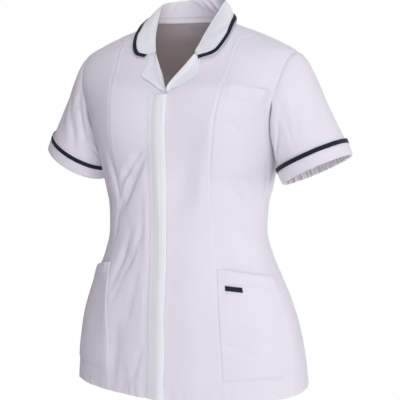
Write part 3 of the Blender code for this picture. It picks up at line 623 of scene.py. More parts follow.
def princess_angle(rows, side):
    """Angle of a front princess seam, brought to the shoulder line in the last row."""
    level = level_of(rows)
    angle = angle_at(smooth_read(PRINCESS_SEAM, "left" if side > 0 else "right", level), level)
    return between(angle, math.pi / 2, np.clip(rows - TOP_ROW + 1, 0, 1))


def armhole(turn, side):
    """Armhole edge, turn 0 at the shoulder and pi at the underarm. Side 1 is front, -1 is back."""
    height = ARMHOLE_MIDDLE + ARMHOLE_HALF_HEIGHT * np.cos(turn)
    centre = smooth_read(SECTIONS, "centre_y", height)
    column = "front_depth" if side > 0 else "back_depth"
    reach = ARMHOLE_FRONT if side > 0 else ARMHOLE_BACK
    share = reach * np.sin(turn) / smooth_read(SECTIONS, column, height)
    power = smooth_read(SECTIONS, "squareness", height) / 2
    lean = np.arccos(np.clip(share, 0.0, 1.0) ** power)
    return (lean if side > 0 else math.pi - lean), height + 0 * centre


def side_edge(rows, side):
    """Angle and height of the side seam and then the armhole. Side 1 is front, -1 is back."""
    turn = math.pi * (1 - np.clip(above_underarm(rows), 0, 1))
    angle, height = armhole(turn, side)
    below = rows <= UNDERARM_ROW
    return np.where(below, math.pi / 2, angle), np.where(below, level_of(rows), height)


def centre_front(rows, columns, side):
    """Angle and height on a centre front: column 0 is its open edge, 7 its princess seam."""
    table = NECK_EDGE_LEFT if side > 0 else NECK_EDGE_RIGHT
    level = level_of(rows)
    seam = side * princess_angle(rows, side)
    step = rows - BREAK_ROW
    chest_share = (rows - UNDERARM_ROW) / (BREAK_ROW - UNDERARM_ROW)
    chest = between(UNDERARM_LEVEL, table["rows"][0][2], chest_share)
    neck = smooth_read(table, "height", step)
    edge_height = np.where(step < 0, np.where(rows < UNDERARM_ROW, level, chest), neck)
    straight = UNDERLAP_EDGE if side > 0 else PLACKET_HALF_WIDTH
    low_across = between(straight, table["rows"][0][1], np.clip(step + 1, 0, 1))
    edge_across = np.where(step < 0, low_across, smooth_read(table, "across", step))
    edge = angle_at(edge_across, edge_height)
    edge = between(edge, side * math.pi / 2, np.clip(rows - TOP_ROW + 1, 0, 1))
    open_angle = between(edge, seam, PLACKET_COLUMNS / CENTRE_COLUMNS)
    set_angle = angle_at(np.full(np.shape(edge), side * PLACKET_HALF_WIDTH), edge_height)
    line = between(set_angle, open_angle, ramp(rows, BREAK_ROW, BREAK_ROW + BREAK_EASE_ROWS))
    near = between(edge, line, columns / PLACKET_COLUMNS)
    far_share = (columns - PLACKET_COLUMNS) / (CENTRE_COLUMNS - PLACKET_COLUMNS)
    angle = np.where(columns <= PLACKET_COLUMNS, near, between(line, seam, far_share))
    height = between(edge_height, level, columns / CENTRE_COLUMNS)
    return angle, dropped_to_hem(angle, height)


def side_front(rows, columns, side):
    """Angle and height on a side front: column 0 is its princess seam, 5 the side seam."""
    seam = princess_angle(rows, side)
    level = level_of(rows)
    edge, edge_height = side_edge(rows, 1)
    share = columns / SIDE_COLUMNS
    angle = side * between(seam, edge, share)
    return angle, dropped_to_hem(angle, between(level, edge_height, share))


def back(rows, columns, _side):
    """Angle and height on the back: column 0 is the left side seam, 13 the centre, 26 the right."""
    half = np.where(columns > BACK_HALF_COLUMNS, 2 * BACK_HALF_COLUMNS - columns, columns)
    edge, edge_height = side_edge(rows, -1)
    share = half / BACK_HALF_COLUMNS
    neck_share = np.clip((half - BACK_NECK_START) / (BACK_HALF_COLUMNS - BACK_NECK_START), 0, 1)
    top_angle = math.pi / 2 * (1 + neck_share)
    shoulder = between(SHOULDER_LEVEL, PRINCESS_TOP, half / SIDE_COLUMNS)
    neck_part = (half - SIDE_COLUMNS) / (BACK_NECK_START - SIDE_COLUMNS)
    slope = between(PRINCESS_TOP, NECK_LEVEL, np.clip(neck_part, 0, 1))
    top_height = np.where(half <= SIDE_COLUMNS, shoulder, slope)
    rise = ramp(rows, UNDERARM_ROW, TOP_ROW) ** 2
    centre = between(UNDERARM_LEVEL, NECK_LEVEL, above_underarm(rows))
    centre_height = np.where(rows <= UNDERARM_ROW, edge_height, centre)
    last_angle = math.pi / 2 + share * math.pi / 2
    last_height = between(SHOULDER_LEVEL, NECK_LEVEL, share)
    angle = between(edge, math.pi, share) + rise * (top_angle - last_angle)
    height = between(edge_height, centre_height, share) + rise * (top_height - last_height)
    angle = np.where(columns > BACK_HALF_COLUMNS, 2 * math.pi - angle, angle)
    return angle, dropped_to_hem(angle, height)


PANELS = {
    "front_centre_left": (centre_front, 1),
    "front_centre_right": (centre_front, -1),
    "front_side_left": (side_front, 1),
    "front_side_right": (side_front, -1),
    "back_panel": (back, 1),
}


def panel_points(panel, rows, columns):
    """Outer points and directions of a panel. The left front sinks where the right one laps it."""
    place, side = PANELS[panel]
    rows, columns = np.broadcast_arrays(np.asarray(rows, float), np.asarray(columns, float))
    angle, height = place(rows, columns, side)
    points, normals = worn(angle, height)
    if panel == "front_centre_left":
        near = 1 - ramp(points[..., 0] - PLACKET_HALF_WIDTH, *UNDERLAP_EASE)
        low = 1 - ramp(points[..., 2], *UNDERLAP_TOP)
        points = points - normals * (UNDERLAP_DEPTH * near * low)[..., None]
    return points, normals


for panel in PANELS:
    print(panel, "starts at", np.round(panel_points(panel, [0.0], [0.0])[0][0], 3).tolist())

# %% [markdown]
# ## From points to cloth
#
# A piece of cloth is one closed wall: an outer face, an inner face behind it and narrow edges
# between. Its edges are drawn in a little so that they catch the light as a folded edge does.
# The wall also gets a flat map in metres, so that the weave has its real size on every piece.

# %% Walls with a flat map
SHOWN_CLOTH = 0.0012
EDGE_ROUNDING = 0.0004
SHARP_EDGE_DEGREES = 60
PLACE_DIGITS = 6


def spread(points, axis):
    """Running length in metres along one axis of a grid of points."""
    steps = np.linalg.norm(np.diff(points, axis=axis), axis=-1)
    lengths = np.cumsum(steps, axis=axis)
    start = np.zeros_like(np.take(lengths, [0], axis=axis))
    return np.concatenate([start, lengths], axis=axis)


def ringed(grid, closed):
    """The grid, with its first column again at its end when it goes all round."""
    return np.concatenate([grid, grid[:, :1]], axis=1) if closed else grid


def flat_map(points):
    """Flat place of each grid point, in metres: rows run up the cloth, columns across it."""
    middle_row = points[points.shape[0] // 2]
    across = spread(middle_row[None], 1)[0]
    middle_column = points[:, points.shape[1] // 2]
    up = spread(middle_column[:, None], 0)[:, 0]
    return np.stack(np.broadcast_arrays(across[None, :], up[:, None]), axis=-1)


def wall(name, outer, inner, materials, closed=False, inner_slot=0):
    """A closed wall of cloth between two grids, as a new object."""
    rows, columns = outer.shape[:2]
    count = rows * columns
    index = np.arange(count).reshape(rows, columns)
    around = ringed(index, closed)
    a, b = around[:-1, :-1].ravel(), around[:-1, 1:].ravel()
    d, c = around[1:, :-1].ravel(), around[1:, 1:].ravel()
    outside = np.stack([a, b, c, d], axis=1)
    inside = np.stack([a, d, c, b], axis=1) + count
    if closed:
        borders = [index[0], index[-1, ::-1]]
    else:
        sides = [index[0], index[1:, -1], index[-1, -2::-1], index[-2:0:-1, 0]]
        borders = [np.concatenate(sides)]
    edges = []
    for line in borders:
        after = np.roll(line, -1)
        edges.append(np.stack([after, line, line + count, after + count], axis=1))
    faces = np.concatenate([outside, inside] + edges)
    vertices = np.concatenate([outer.reshape(-1, 3), inner.reshape(-1, 3)])
    mesh = bpy.data.meshes.new(name)
    mesh.from_pydata(vertices.tolist(), [], faces.tolist())
    for material in materials:
        mesh.materials.append(material)
    slots = np.zeros(len(faces), dtype=np.int32)
    slots[len(outside):len(outside) + len(inside)] = inner_slot
    mesh.polygons.foreach_set("material_index", slots)
    places = np.tile(flat_map(outer).reshape(-1, 2), (2, 1))
    corners = np.zeros(len(mesh.loops), dtype=np.int32)
    mesh.loops.foreach_get("vertex_index", corners)
    layer = mesh.uv_layers.new(name="cloth_map")
    layer.data.foreach_set("uv", places[corners].ravel())
    mesh.update()
    mesh.shade_smooth()
    mesh.set_sharp_from_angle(angle=math.radians(SHARP_EDGE_DEGREES))
    made = bpy.data.objects.new(name, mesh)
    bpy.context.collection.objects.link(made)
    return made


def drawn_in(grid, distance, rows, columns):
    """Move the named border rows and columns of a grid towards its inside."""
    moved = grid.copy()
    for row in rows:
        inner = 1 if row == 0 else -2
        moved[row] += unit(grid[inner] - grid[row]) * distance
    for column in columns:
        inner = 1 if column == 0 else -2
        moved[:, column] += unit(grid[:, inner] - grid[:, column]) * distance
    return moved


def lines(start, end, step, ends=()):
    """Even places from start to end, with the extra ones in ends, which lie near the borders."""
    count = max(2, int(round((end - start) / step)) + 1)
    extra = [place for place in ends if start < place < end]
    places = np.concatenate([np.linspace(start, end, count), extra])
    return np.unique(np.round(places, PLACE_DIGITS))


def grid_area(points, closed=False):
    """Area of a grid of points."""
    ring = ringed(points, closed)
    left, right = ring[:, :-1], ring[:, 1:]
    first = right[1:] - left[:-1]
    second = left[1:] - right[:-1]
    return float(np.linalg.norm(np.cross(first, second), axis=-1).sum() / 2)


cuts = {}
BORDERS = {"first_row": (0, 1), "last_row": (0, -1), "first_column": (1, 1), "last_column": (1, -1)}


def line_inside(points, border, distance, values=None):
    """Read values (the points, unless given) along a line at a distance from one border."""
    axis, direction = BORDERS[border]
    lengths = spread(np.moveaxis(points, axis, 0)[::direction], 0)
    table = np.moveaxis(points if values is None else values, axis, 0)[::direction]
    line = [[np.interp(distance, lengths[:, i], table[:, i, k]) for k in range(3)]
            for i in range(table.shape[1])]
    return np.array(line)


shown_faces = {}


def keep_face(piece, grid, closed=False, facing=1):
    """Keep a piece's outer grid and its outward directions, for its stitches."""
    ring = ringed(grid, closed)
    outwards = facing * unit(np.cross(np.gradient(ring, axis=1), np.gradient(ring, axis=0)))
    shown_faces[piece.name] = (ring, outwards)


def note_cut(piece, points, held, rests_on, with_pieces=(), closed=False):
    """Keep the flat size that a piece was cut to, measured on its finished grid."""
    width = float(spread(ringed(points, closed), 1)[:, -1].max())
    length = float(spread(points, 0)[-1].max())
    area = min(grid_area(points, closed), width * length)
    cuts[piece.name] = {
        "piece": piece,
        "flat": (round(width, 4), round(length, 4)),
        "area": area,
        "held": held,
        "rests_on": list(rests_on),
        "with_pieces": list(with_pieces),
    }


print("cloth wall: %.1f mm" % (SHOWN_CLOTH * 1000))

# %% [markdown]
# ## Cloth finishes
#
# Polycotton poplin is a fine plain weave, two threads a millimetre and nearly matt. The weave is
# a product of two waves on the flat map, used as a very low bump. A soft cloudy bump on top keeps
# large flat stretches from looking like plastic. Colour varies by a few parts in a hundred. The
# inner face of every piece is painted shade, a dark brownish tone on white cloth. Inside the neck
# the light comes from above and through the cloth, so this painted shade changes its colour with
# height. The gathered facing in the cuffs has painted highlights on its folds and painted shade
# between them.

# %% Finish tables
FINISHES = {
    "columns": ("name", "light", "deep", "roughness", "thread_pitch", "cloud_height", "sheen"),
    "rows": (
        ("white_polycotton", (0.83, 0.82, 0.87), (0.78, 0.77, 0.83), 0.86, 0.0005, 0.0012, 0.10),
        ("white_double_cloth", (0.885, 0.90, 0.93), (0.845, 0.86, 0.90), 0.86, 0.0005, 0.0010, 0.10),
        # The inner face: painted shade, a dark brownish tone on white cloth
        ("inside_face_painted_shade", (0.60, 0.54, 0.53), (0.52, 0.46, 0.45), 0.92, 0.0005, 0.0014, 0.0),
        # The cuff facing: painted highlights and painted shade in its gathers, mixed by streaks
        ("cuff_facing_painted_shade", (0.90, 0.88, 0.92), (0.47, 0.45, 0.48), 0.92, 0.0005, 0.0014, 0.0),
        ("navy_trim", (0.016, 0.015, 0.034), (0.007, 0.007, 0.018), 0.70, 0.0007, 0.0005, 0.08),
        ("grey_strip", (0.50, 0.48, 0.49), (0.38, 0.37, 0.38), 0.80, 0.0006, 0.0004, 0.0),
    ),
}
# Painted light and shade on the inner face over the top 12 cm: lightest low down, darkest just under the
# neck, bluer at the top
INSIDE_SHADE_SPAN = (-0.12, 0.0)
INSIDE_SHADE_STOPS = {
    "columns": ("share", "red", "green", "blue"),
    "rows": (
        (0.0, 0.98, 0.88, 0.84),
        (0.45, 0.56, 0.48, 0.46),
        (0.72, 0.44, 0.37, 0.37),
        (0.97, 0.56, 0.52, 0.58),
    ),
}
# How finely the painted shade streaks run round the cuff facing and along it, and their contrast
FACING_SHADE_STREAKS = (260.0, 14.0, 1.0)
FACING_SHADE_CONTRAST = (0.36, 0.64)
SHEEN_ROUGHNESS = 0.5
CLOTH_GLOSS = 0.25
TONE = {"Scale": 14.0, "Detail": 4.0}
CLOUD = {"Scale": 45.0, "Detail": 3.0}
CLOUD_STRENGTH = 0.6
WEAVE_STRENGTH = 0.5
WEAVE_HEIGHT_SHARE = 0.12
THREAD_ROUGHNESS = 0.6
THREAD_GLOSS = 0.35
THREAD_FIBRE = {"Scale": 1500.0, "Detail": 2.0}
THREAD_RELIEF = 0.00005
print("cloth finishes:", len(FINISHES["rows"]))


# %% Nodes of a finish
def two_colours(tree, light, deep, share):
    """A mix of two colours by a share that another node gives."""
    colour = add_node(tree, "ShaderNodeMix")
    colour.data_type = "RGBA"
    colour.inputs["A"].default_value = (*light, 1.0)
    colour.inputs["B"].default_value = (*deep, 1.0)
    tree.links.new(share, colour.inputs["Factor"])
    return colour.outputs["Result"]


def weave_height(tree, pitch):
    """Height of a plain weave from the flat map: threads over and under in both directions."""
    flat = add_node(tree, "ShaderNodeUVMap")
    flat.uv_map = "cloth_map"
    split = add_node(tree, "ShaderNodeSeparateXYZ")
    join(tree, (flat.outputs["UV"], split.inputs[0]))
    product = add_node(tree, "ShaderNodeMath")
    product.operation = "MULTIPLY"
    for number, axis in enumerate("XY"):
        scaled = add_node(tree, "ShaderNodeMath")
        scaled.operation = "MULTIPLY"
        scaled.inputs[1].default_value = 2 * math.pi / pitch
        wave = add_node(tree, "ShaderNodeMath")
        wave.operation = "SINE"
        join(tree, (split.outputs[axis], scaled.inputs[0]), (scaled.outputs[0], wave.inputs[0]),
             (wave.outputs[0], product.inputs[number]))
    return product.outputs[0]


def cloth_finish(name, light, deep, roughness, pitch, cloud_height, sheen):
    """A woven cloth: uneven colour, a plain weave and a soft cloudy unevenness."""
    material, tree, shader = new_finish(name, {
        "Roughness": roughness,
        "Sheen Weight": sheen,
        "Sheen Roughness": SHEEN_ROUGHNESS,
        "Specular IOR Level": CLOTH_GLOSS,
    })
    place = add_node(tree, "ShaderNodeTexCoord")
    tone = add_node(tree, "ShaderNodeTexNoise", TONE)
    cloud = add_node(tree, "ShaderNodeTexNoise", CLOUD)
    soft = add_node(tree, "ShaderNodeBump", {"Distance": cloud_height, "Strength": CLOUD_STRENGTH})
    woven = add_node(tree, "ShaderNodeBump",
                     {"Distance": pitch * WEAVE_HEIGHT_SHARE, "Strength": WEAVE_STRENGTH})
    join(
        tree,
        (place.outputs["Object"], tone.inputs["Vector"]),
        (two_colours(tree, light, deep, tone.outputs["Fac"]), shader.inputs["Base Color"]),
        (place.outputs["Object"], cloud.inputs["Vector"]),
        (cloud.outputs["Fac"], soft.inputs["Height"]),
        (weave_height(tree, pitch), woven.inputs["Height"]),
        (soft.outputs["Normal"], woven.inputs["Normal"]),
        (woven.outputs["Normal"], shader.inputs["Normal"]),
    )
    return material


def colour_mix(tree):
    """The node that mixes a finish's two colours."""
    return [node for node in tree.nodes if node.bl_idname == "ShaderNodeMix"][0]


def shade_by_height(material):
    """Painted light and shade on the inside, by height: light from the neck and through the cloth
    differs.
    """
    tree = material.node_tree
    place = add_node(tree, "ShaderNodeTexCoord")
    split = add_node(tree, "ShaderNodeSeparateXYZ")
    span = {"From Min": INSIDE_SHADE_SPAN[0], "From Max": INSIDE_SHADE_SPAN[1]}
    share = add_node(tree, "ShaderNodeMapRange", span)
    stops = add_node(tree, "ShaderNodeValToRGB")
    elements = stops.color_ramp.elements
    while len(elements) < len(INSIDE_SHADE_STOPS["rows"]):
        elements.new(0.5)
    for element, (position, *colour) in zip(elements, INSIDE_SHADE_STOPS["rows"]):
        element.position = position
        element.color = (*colour, 1.0)
    join(
        tree,
        (place.outputs["Object"], split.inputs[0]),
        (split.outputs["Z"], share.inputs["Value"]),
        (share.outputs["Result"], stops.inputs["Fac"]),
        (stops.outputs["Color"], colour_mix(tree).inputs["A"]),
    )


def shade_by_gathers(material):
    """Painted streaks across a gathered cloth: painted highlights on its folds and painted shade between
    them.
    """
    tree = material.node_tree
    flat = add_node(tree, "ShaderNodeUVMap")
    flat.uv_map = "cloth_map"
    stretched = add_node(tree, "ShaderNodeMapping", {"Scale": FACING_SHADE_STREAKS})
    streaks = add_node(tree, "ShaderNodeTexNoise", {"Scale": 1.0})
    span = {"From Min": FACING_SHADE_CONTRAST[0], "From Max": FACING_SHADE_CONTRAST[1]}
    share = add_node(tree, "ShaderNodeMapRange", span)
    join(
        tree,
        (flat.outputs["UV"], stretched.inputs["Vector"]),
        (stretched.outputs["Vector"], streaks.inputs["Vector"]),
        (streaks.outputs["Fac"], share.inputs["Value"]),
        (share.outputs["Result"], colour_mix(tree).inputs["Factor"]),
    )


def thread_finish(name, light, deep):
    """Sewing thread: a little glossier than the cloth, of uneven colour and surface."""
    gloss = {"Roughness": THREAD_ROUGHNESS, "Specular IOR Level": THREAD_GLOSS}
    material, tree, shader = new_finish(name, gloss)
    place = add_node(tree, "ShaderNodeTexCoord")
    fibre = add_node(tree, "ShaderNodeTexNoise", THREAD_FIBRE)
    twist = add_node(tree, "ShaderNodeBump", {"Distance": THREAD_RELIEF})
    join(
        tree,
        (place.outputs["Object"], fibre.inputs["Vector"]),
        (two_colours(tree, light, deep, fibre.outputs["Fac"]), shader.inputs["Base Color"]),
        (fibre.outputs["Fac"], twist.inputs["Height"]),
        (twist.outputs["Normal"], shader.inputs["Normal"]),
    )
    return material


finishes = {row[0]: cloth_finish(*row) for row in FINISHES["rows"]}
white, white_double, white_inside_painted_shade, white_facing_painted_shade, navy, grey = finishes.values()
shade_by_height(white_inside_painted_shade)
shade_by_gathers(white_facing_painted_shade)
tones = {row[0]: row[1:3] for row in FINISHES["rows"]}
white_thread = thread_finish("white_thread", *tones["white_polycotton"])
navy_thread = thread_finish("navy_thread", *tones["navy_trim"])
print("finishes:", [m.name for m in bpy.data.materials])

# %% [markdown]
# ## The five body panels
#
# Each panel is read from the form on a grid of about three millimetres, with extra lines close to
# its borders. There the cloth rolls in towards the seam, as a pressed seam does, so two panels
# meet in a fine groove. Beside a princess seam the centre front is a little raised, because both
# seam allowances are pressed that way under it. The hem is a double turning, so it is thicker,
# with a shallow groove where its stitches pull the cloth in.

# %% Panel cloth
SEAM_ROLL = 0.0028
SEAM_SINK = 0.0005
ARMHOLE_SINK = 0.0003
ALLOWANCE_WIDTH = 0.0090
ALLOWANCE_RISE = 0.0004
ALLOWANCE_EDGE = 0.0030
# Below these rows the seams on the fronts are flatter: they keep this share of their relief
QUIET_ROWS = (5.0, 11.0)
QUIET_SHARE = 0.3
# Rows on either side of the underarm over which the side seam's sink becomes the armhole's
UNDERARM_BLEND = 0.5
HEM_STITCH = 0.013
HEM_EDGE = 0.001
HEM_THICKER = 0.5
HEM_WAVE = {"height": 0.0006, "rate": 310.0, "waver": 2.0, "waver_rate": 90.0, "reach": 0.03}
GROOVE_DEPTH = 0.0004
GROOVE_REACH = 0.0016
ROW_STEP = 0.11
PANEL_GRIDS = {
    "columns": ("panel", "last_column", "column_step", "rolled_columns"),
    "rows": (
        ("front_centre_left", 7.0, 0.17, (-1,)),
        ("front_centre_right", 7.0, 0.17, (-1,)),
        ("front_side_left", 5.0, 0.12, (0, -1)),
        ("front_side_right", 5.0, 0.12, (0, -1)),
        ("back_panel", 26.0, 0.17, (0, -1)),
    ),
}
BORDER_PLACES = (0.02, 0.05, 0.09)


def border_lines(end, step):
    """Even grid places with more of them close to both ends."""
    near = list(BORDER_PLACES) + [end - place for place in BORDER_PLACES]
    return lines(0.0, end, step, near)


def moved_out(points, normals, distance):
    """Points moved outwards by a distance that may differ from place to place."""
    return points + normals * np.broadcast_to(distance, points.shape[:2])[..., None]


def pressed_in(points, normals, distance, depth, reach):
    """Sink the cloth by depth where distance is 0, with a soft rise to where it is reach."""
    return moved_out(points, normals, -depth * (1 - ramp(distance, 0.0, reach)))


def hem_wave(along, up):
    """The hem's edge ripples a little."""
    bent = along * HEM_WAVE["rate"] + HEM_WAVE["waver"] * np.sin(along * HEM_WAVE["waver_rate"])
    return HEM_WAVE["height"] * np.sin(bent) * (1 - ramp(up, 0.0, HEM_WAVE["reach"]))


def make_panel(panel, last_column, column_step, rolled):
    """The cloth of one body panel."""
    rows = border_lines(float(TOP_ROW), ROW_STEP)
    columns = border_lines(last_column, column_step)
    row, column = np.meshgrid(rows, columns, indexing="ij")
    points, normals = panel_points(panel, row, column)
    along = spread(points, 1)
    from_last = along[:, -1:] - along
    up = spread(points, 0)
    beside_armhole = ramp(row, UNDERARM_ROW - UNDERARM_BLEND, UNDERARM_ROW + UNDERARM_BLEND)
    side_sink = between(SEAM_SINK, ARMHOLE_SINK, beside_armhole)
    strength = between(QUIET_SHARE, 1, ramp(row, *QUIET_ROWS))
    is_centre = panel.startswith("front_centre")
    if is_centre:
        pressed = 1 - ramp(from_last, ALLOWANCE_WIDTH - ALLOWANCE_EDGE, ALLOWANCE_WIDTH)
        points = moved_out(points, normals, ALLOWANCE_RISE * strength * pressed)
    if 0 in rolled:
        sink = side_sink if panel == "back_panel" else SEAM_SINK * strength
        points = pressed_in(points, normals, along, sink, SEAM_ROLL)
    if -1 in rolled:
        sink = SEAM_SINK * strength if is_centre else side_sink
        points = pressed_in(points, normals, from_last, sink, SEAM_ROLL)
    points = pressed_in(points, normals, up[-1:] - up, SEAM_SINK, SEAM_ROLL)
    points = pressed_in(points, normals, np.abs(up - HEM_STITCH), GROOVE_DEPTH, GROOVE_REACH)
    points = moved_out(points, normals, hem_wave(along, up))
    double = 1 - ramp(up, HEM_STITCH - HEM_EDGE, HEM_STITCH)
    inner = moved_out(points, normals, -SHOWN_CLOTH * (1 + HEM_THICKER * double))
    if PANELS[panel][1] < 0:
        points = points[:, ::-1]
        inner = inner[:, ::-1]
    # The inner face gets the inside finish, which is painted shade
    made = wall(panel + "_cloth", points, inner, [white, white_inside_painted_shade], False, 1)
    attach(made, "root")
    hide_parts(panel)
    keep_face(made, points)
    note_cut(made, points, "draped", sorted(other + "_cloth" for other in PANELS if other != panel))
    return made


for grid in PANEL_GRIDS["rows"]:
    made = make_panel(*grid)
    print(made.name, len(made.data.polygons), "faces", cuts[made.name]["flat"])

# %% [markdown]
# ## What lies on the fronts
#
# The placket, the lapels and the pockets are second layers. Each is read from the panel under it
# and moved out, so it follows every fold below. Where a layer is sewn down, its edge is pressed
# on the cloth; where it is free, such as a pocket mouth, it stands off a little.

# %% A layer on a panel
LAYER_REST = 0.0006
THIN_SHOWN = 0.0010
print("a layer: %.1f mm thick" % (THIN_SHOWN * 1000))


def layer(name, panel, row, column, lift, materials, replaced, slot="white_cloth", held="laid"):
    """A piece that lies on a panel at the given rows and columns, standing off it by lift."""
    points, normals = panel_points(panel, row, column)
    under = moved_out(points, normals, lift)
    over = under + normals * THIN_SHOWN
    over = drawn_in(over, EDGE_ROUNDING, (0, -1), (0, -1))
    if PANELS[panel][1] < 0:
        under = under[:, ::-1]
        over = over[:, ::-1]
    made = wall(name, over, under, materials)
    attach(made, "root")
    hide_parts(replaced)
    keep_face(made, over)
    note_cut(made, over, held, [panel + "_cloth"])
    return made


# %% Placket
# In columns from its open edge: where its slope starts, where its flat top starts above the rows
# of PLACKET_NARROWS and below them, and where a fold runs down it
PLACKET_SLOPE_START = 1.76
PLACKET_PLATEAU_TOP = 1.06
PLACKET_PLATEAU_LOW = 0.62
PLACKET_NARROWS = (5.0, 13.0)
PLACKET_FOLD_COLUMN = 0.64
PLACKET_FOLD_WIDTH = 0.045
PLACKET_RISE = 0.0031
PLACKET_EDGE_SHARE = 0.55
PLACKET_EDGE_ROLL = (-0.025, 0.10)
PLACKET_GROOVE = 0.0007
PLACKET_EASE = {"height": 0.0003, "rate": 2.3, "slow_rate": 0.9, "slow_start": 1.0}
PLACKET_TOP_GAP = 0.02
PLACKET_COLUMN_STEP = 0.07
PLACKET_LINES = (0.015, 0.03, 0.05, 0.10, 0.58, 0.60, 0.62, 0.64, 0.66, 0.68, 0.70, 1.97)


def placket_lift(row, column):
    """Height of the placket's cloth over the front: a slope up from its seam, a groove, an edge."""
    plateau = between(PLACKET_PLATEAU_LOW, PLACKET_PLATEAU_TOP, ramp(row, *PLACKET_NARROWS))
    slope = np.clip((PLACKET_SLOPE_START - column) / (PLACKET_SLOPE_START - plateau), 0.0, 1.0)
    groove = hump(column - PLACKET_FOLD_COLUMN, PLACKET_FOLD_WIDTH)
    slope = slope * between(PLACKET_EDGE_SHARE, 1, ramp(column, 0.0, PLACKET_FOLD_COLUMN))
    slope = slope * ramp(column, *PLACKET_EDGE_ROLL)
    slow = np.sin(row * PLACKET_EASE["slow_rate"] + PLACKET_EASE["slow_start"])
    ease = PLACKET_EASE["height"] * np.sin(row * PLACKET_EASE["rate"]) * slow
    return LAYER_REST + PLACKET_RISE * slope - PLACKET_GROOVE * groove + ease * slope


def make_placket():
    """The strip down the right front: free at its edge, stitched down along its inner side."""
    rows = lines(0.0, BREAK_ROW - PLACKET_TOP_GAP, ROW_STEP)
    columns = lines(0.0, float(PLACKET_COLUMNS), PLACKET_COLUMN_STEP, PLACKET_LINES)
    row, column = np.meshgrid(rows, columns, indexing="ij")
    lift = placket_lift(row, column)
    return layer("placket_cloth", "front_centre_right", row, column, lift, [white_double], "placket",
                 held="folded")


placket = make_placket()
print(placket.name, len(placket.data.polygons), "faces", cuts[placket.name]["flat"])

# %% Lapels
LAPELS = {
    "right": {
        "columns": ("share", "inner_row", "inner_column", "outer_row", "outer_column"),
        "rows": (
            (0.0, 0.06, 0.00, 0.10, 0.14),
            (0.2, 0.75, 0.02, 0.62, 0.80),
            (0.4, 1.60, 0.06, 1.36, 1.62),
            (0.6, 2.40, 0.00, 2.22, 2.50),
            (0.8, 3.20, -0.16, 3.20, 1.36),
            (1.0, 3.88, -0.32, 3.80, 0.74),
        ),
    },
    "left": {
        "columns": ("share", "inner_row", "inner_column", "outer_row", "outer_column"),
        "rows": (
            (0.0, 0.70, 1.44, 0.76, 1.62),
            (0.2, 1.12, 0.32, 1.16, 2.20),
            (0.4, 1.80, 0.06, 1.62, 2.66),
            (0.6, 2.50, 0.10, 2.24, 2.84),
            (0.8, 3.25, 0.18, 2.98, 2.14),
            (1.0, 3.84, 0.30, 3.74, 1.34),
        ),
    },
}
LAPEL_REST = 0.0010
LAPEL_ROLL = 0.0024
LAPEL_GORGE_RISE = 0.0016
LAPEL_BREAK_RISE = 0.0007
LAPEL_SHARE_STEP = 0.02
LAPEL_ACROSS_STEP = 0.04
LAPEL_LINES = (0.015, 0.04, 0.08, 0.12)
# Shares across a lapel from its roll, and along it from its lowest point
LAPEL_ROLLED = (0.0, 0.45)
LAPEL_ROLL_EDGE = (-0.25, 0.10)
LAPEL_GORGE = (0.55, 1.0)
LAPEL_GORGE_ACROSS = (0.0, 0.7)
LAPEL_OUTER = (0.75, 1.0)
LAPEL_LOW_END = (0.0, 0.3)


def make_lapel(word, panel):
    """The turned-back top of a front, rolled over at its inner edge."""
    outline = LAPELS[word]
    shares = lines(0.0, 1.0, LAPEL_SHARE_STEP)
    crossings = lines(0.0, 1.0, LAPEL_ACROSS_STEP, LAPEL_LINES)
    share, across = np.meshgrid(shares, crossings, indexing="ij")
    ends = [smooth_read(outline, name, share) for name in outline["columns"][1:]]
    inner_row, inner_column, outer_row, outer_column = ends
    row = BREAK_ROW + between(inner_row, outer_row, across)
    column = between(inner_column, outer_column, across)
    rolled = (1 - ramp(across, *LAPEL_ROLLED)) * ramp(across, *LAPEL_ROLL_EDGE)
    gorge = ramp(share, *LAPEL_GORGE) * (1 - ramp(across, *LAPEL_GORGE_ACROSS))
    lift = LAPEL_REST + LAPEL_ROLL * rolled + LAPEL_GORGE_RISE * gorge
    low_end = ramp(across, *LAPEL_OUTER) * (1 - ramp(share, *LAPEL_LOW_END))
    lift = lift + LAPEL_BREAK_RISE * low_end
    return layer("lapel_%s_cloth" % word, panel, row, column, lift, [white_double],
                 "lapel_" + word, held="folded")


for word in LAPELS:
    made = make_lapel(word, "front_centre_" + word)
    print(made.name, len(made.data.polygons), "faces", cuts[made.name]["flat"])

# %% Pockets and the bare label
CHEST_POCKET = {
    "columns": ("column", "bottom_row", "top_row"),
    "rows": ((0.12, 11.30, 19.04), (1.80, 11.33, 19.19), (3.20, 11.66, 19.32), (4.35, 11.97, 19.42)),
}
LOWER_POCKET = {
    "columns": ("column", "bottom_row", "top_row"),
    "rows": ((0.06, 1.15, 6.74), (4.90, 1.15, 6.03)),
}
POCKET_LABEL = {
    "columns": ("column", "bottom_row", "top_row"),
    "rows": ((0.47, 5.65, 5.90), (1.50, 5.53, 5.78)),
}
POCKETS = {
    "columns": ("name", "panel", "outline", "mouth_lift", "hem_groove"),
    "rows": (
        ("chest_pocket", "front_side_left", CHEST_POCKET, 0.0020, 0.0001),
        ("pocket_left", "front_side_left", LOWER_POCKET, 0.0024, 0.0005),
        ("pocket_right", "front_side_right", LOWER_POCKET, 0.0024, 0.0005),
    ),
}
POCKET_ROWS = 90
POCKET_COLUMN_STEP = 0.09
POCKET_HEM = 0.0225
POCKET_HEM_EDGE = 0.001
POCKET_HEM_THICKER = 0.0003
POCKET_GROOVE_WIDTH = 0.0012
POCKET_FULL = 0.0008
POCKET_LEAST = 0.0002
# Shares of a pocket: the sewn strip on its sides and foot, and where its mouth starts to open
POCKET_SIDE = 0.16
POCKET_FOOT = 0.12
POCKET_MOUTH = 0.78
LABEL_LIFT = 0.0038
LABEL_WAVE = 0.0002
LABEL_WAVE_RATE = 9.0
LABEL_ROWS = 8
LABEL_COLUMN_STEP = 0.06


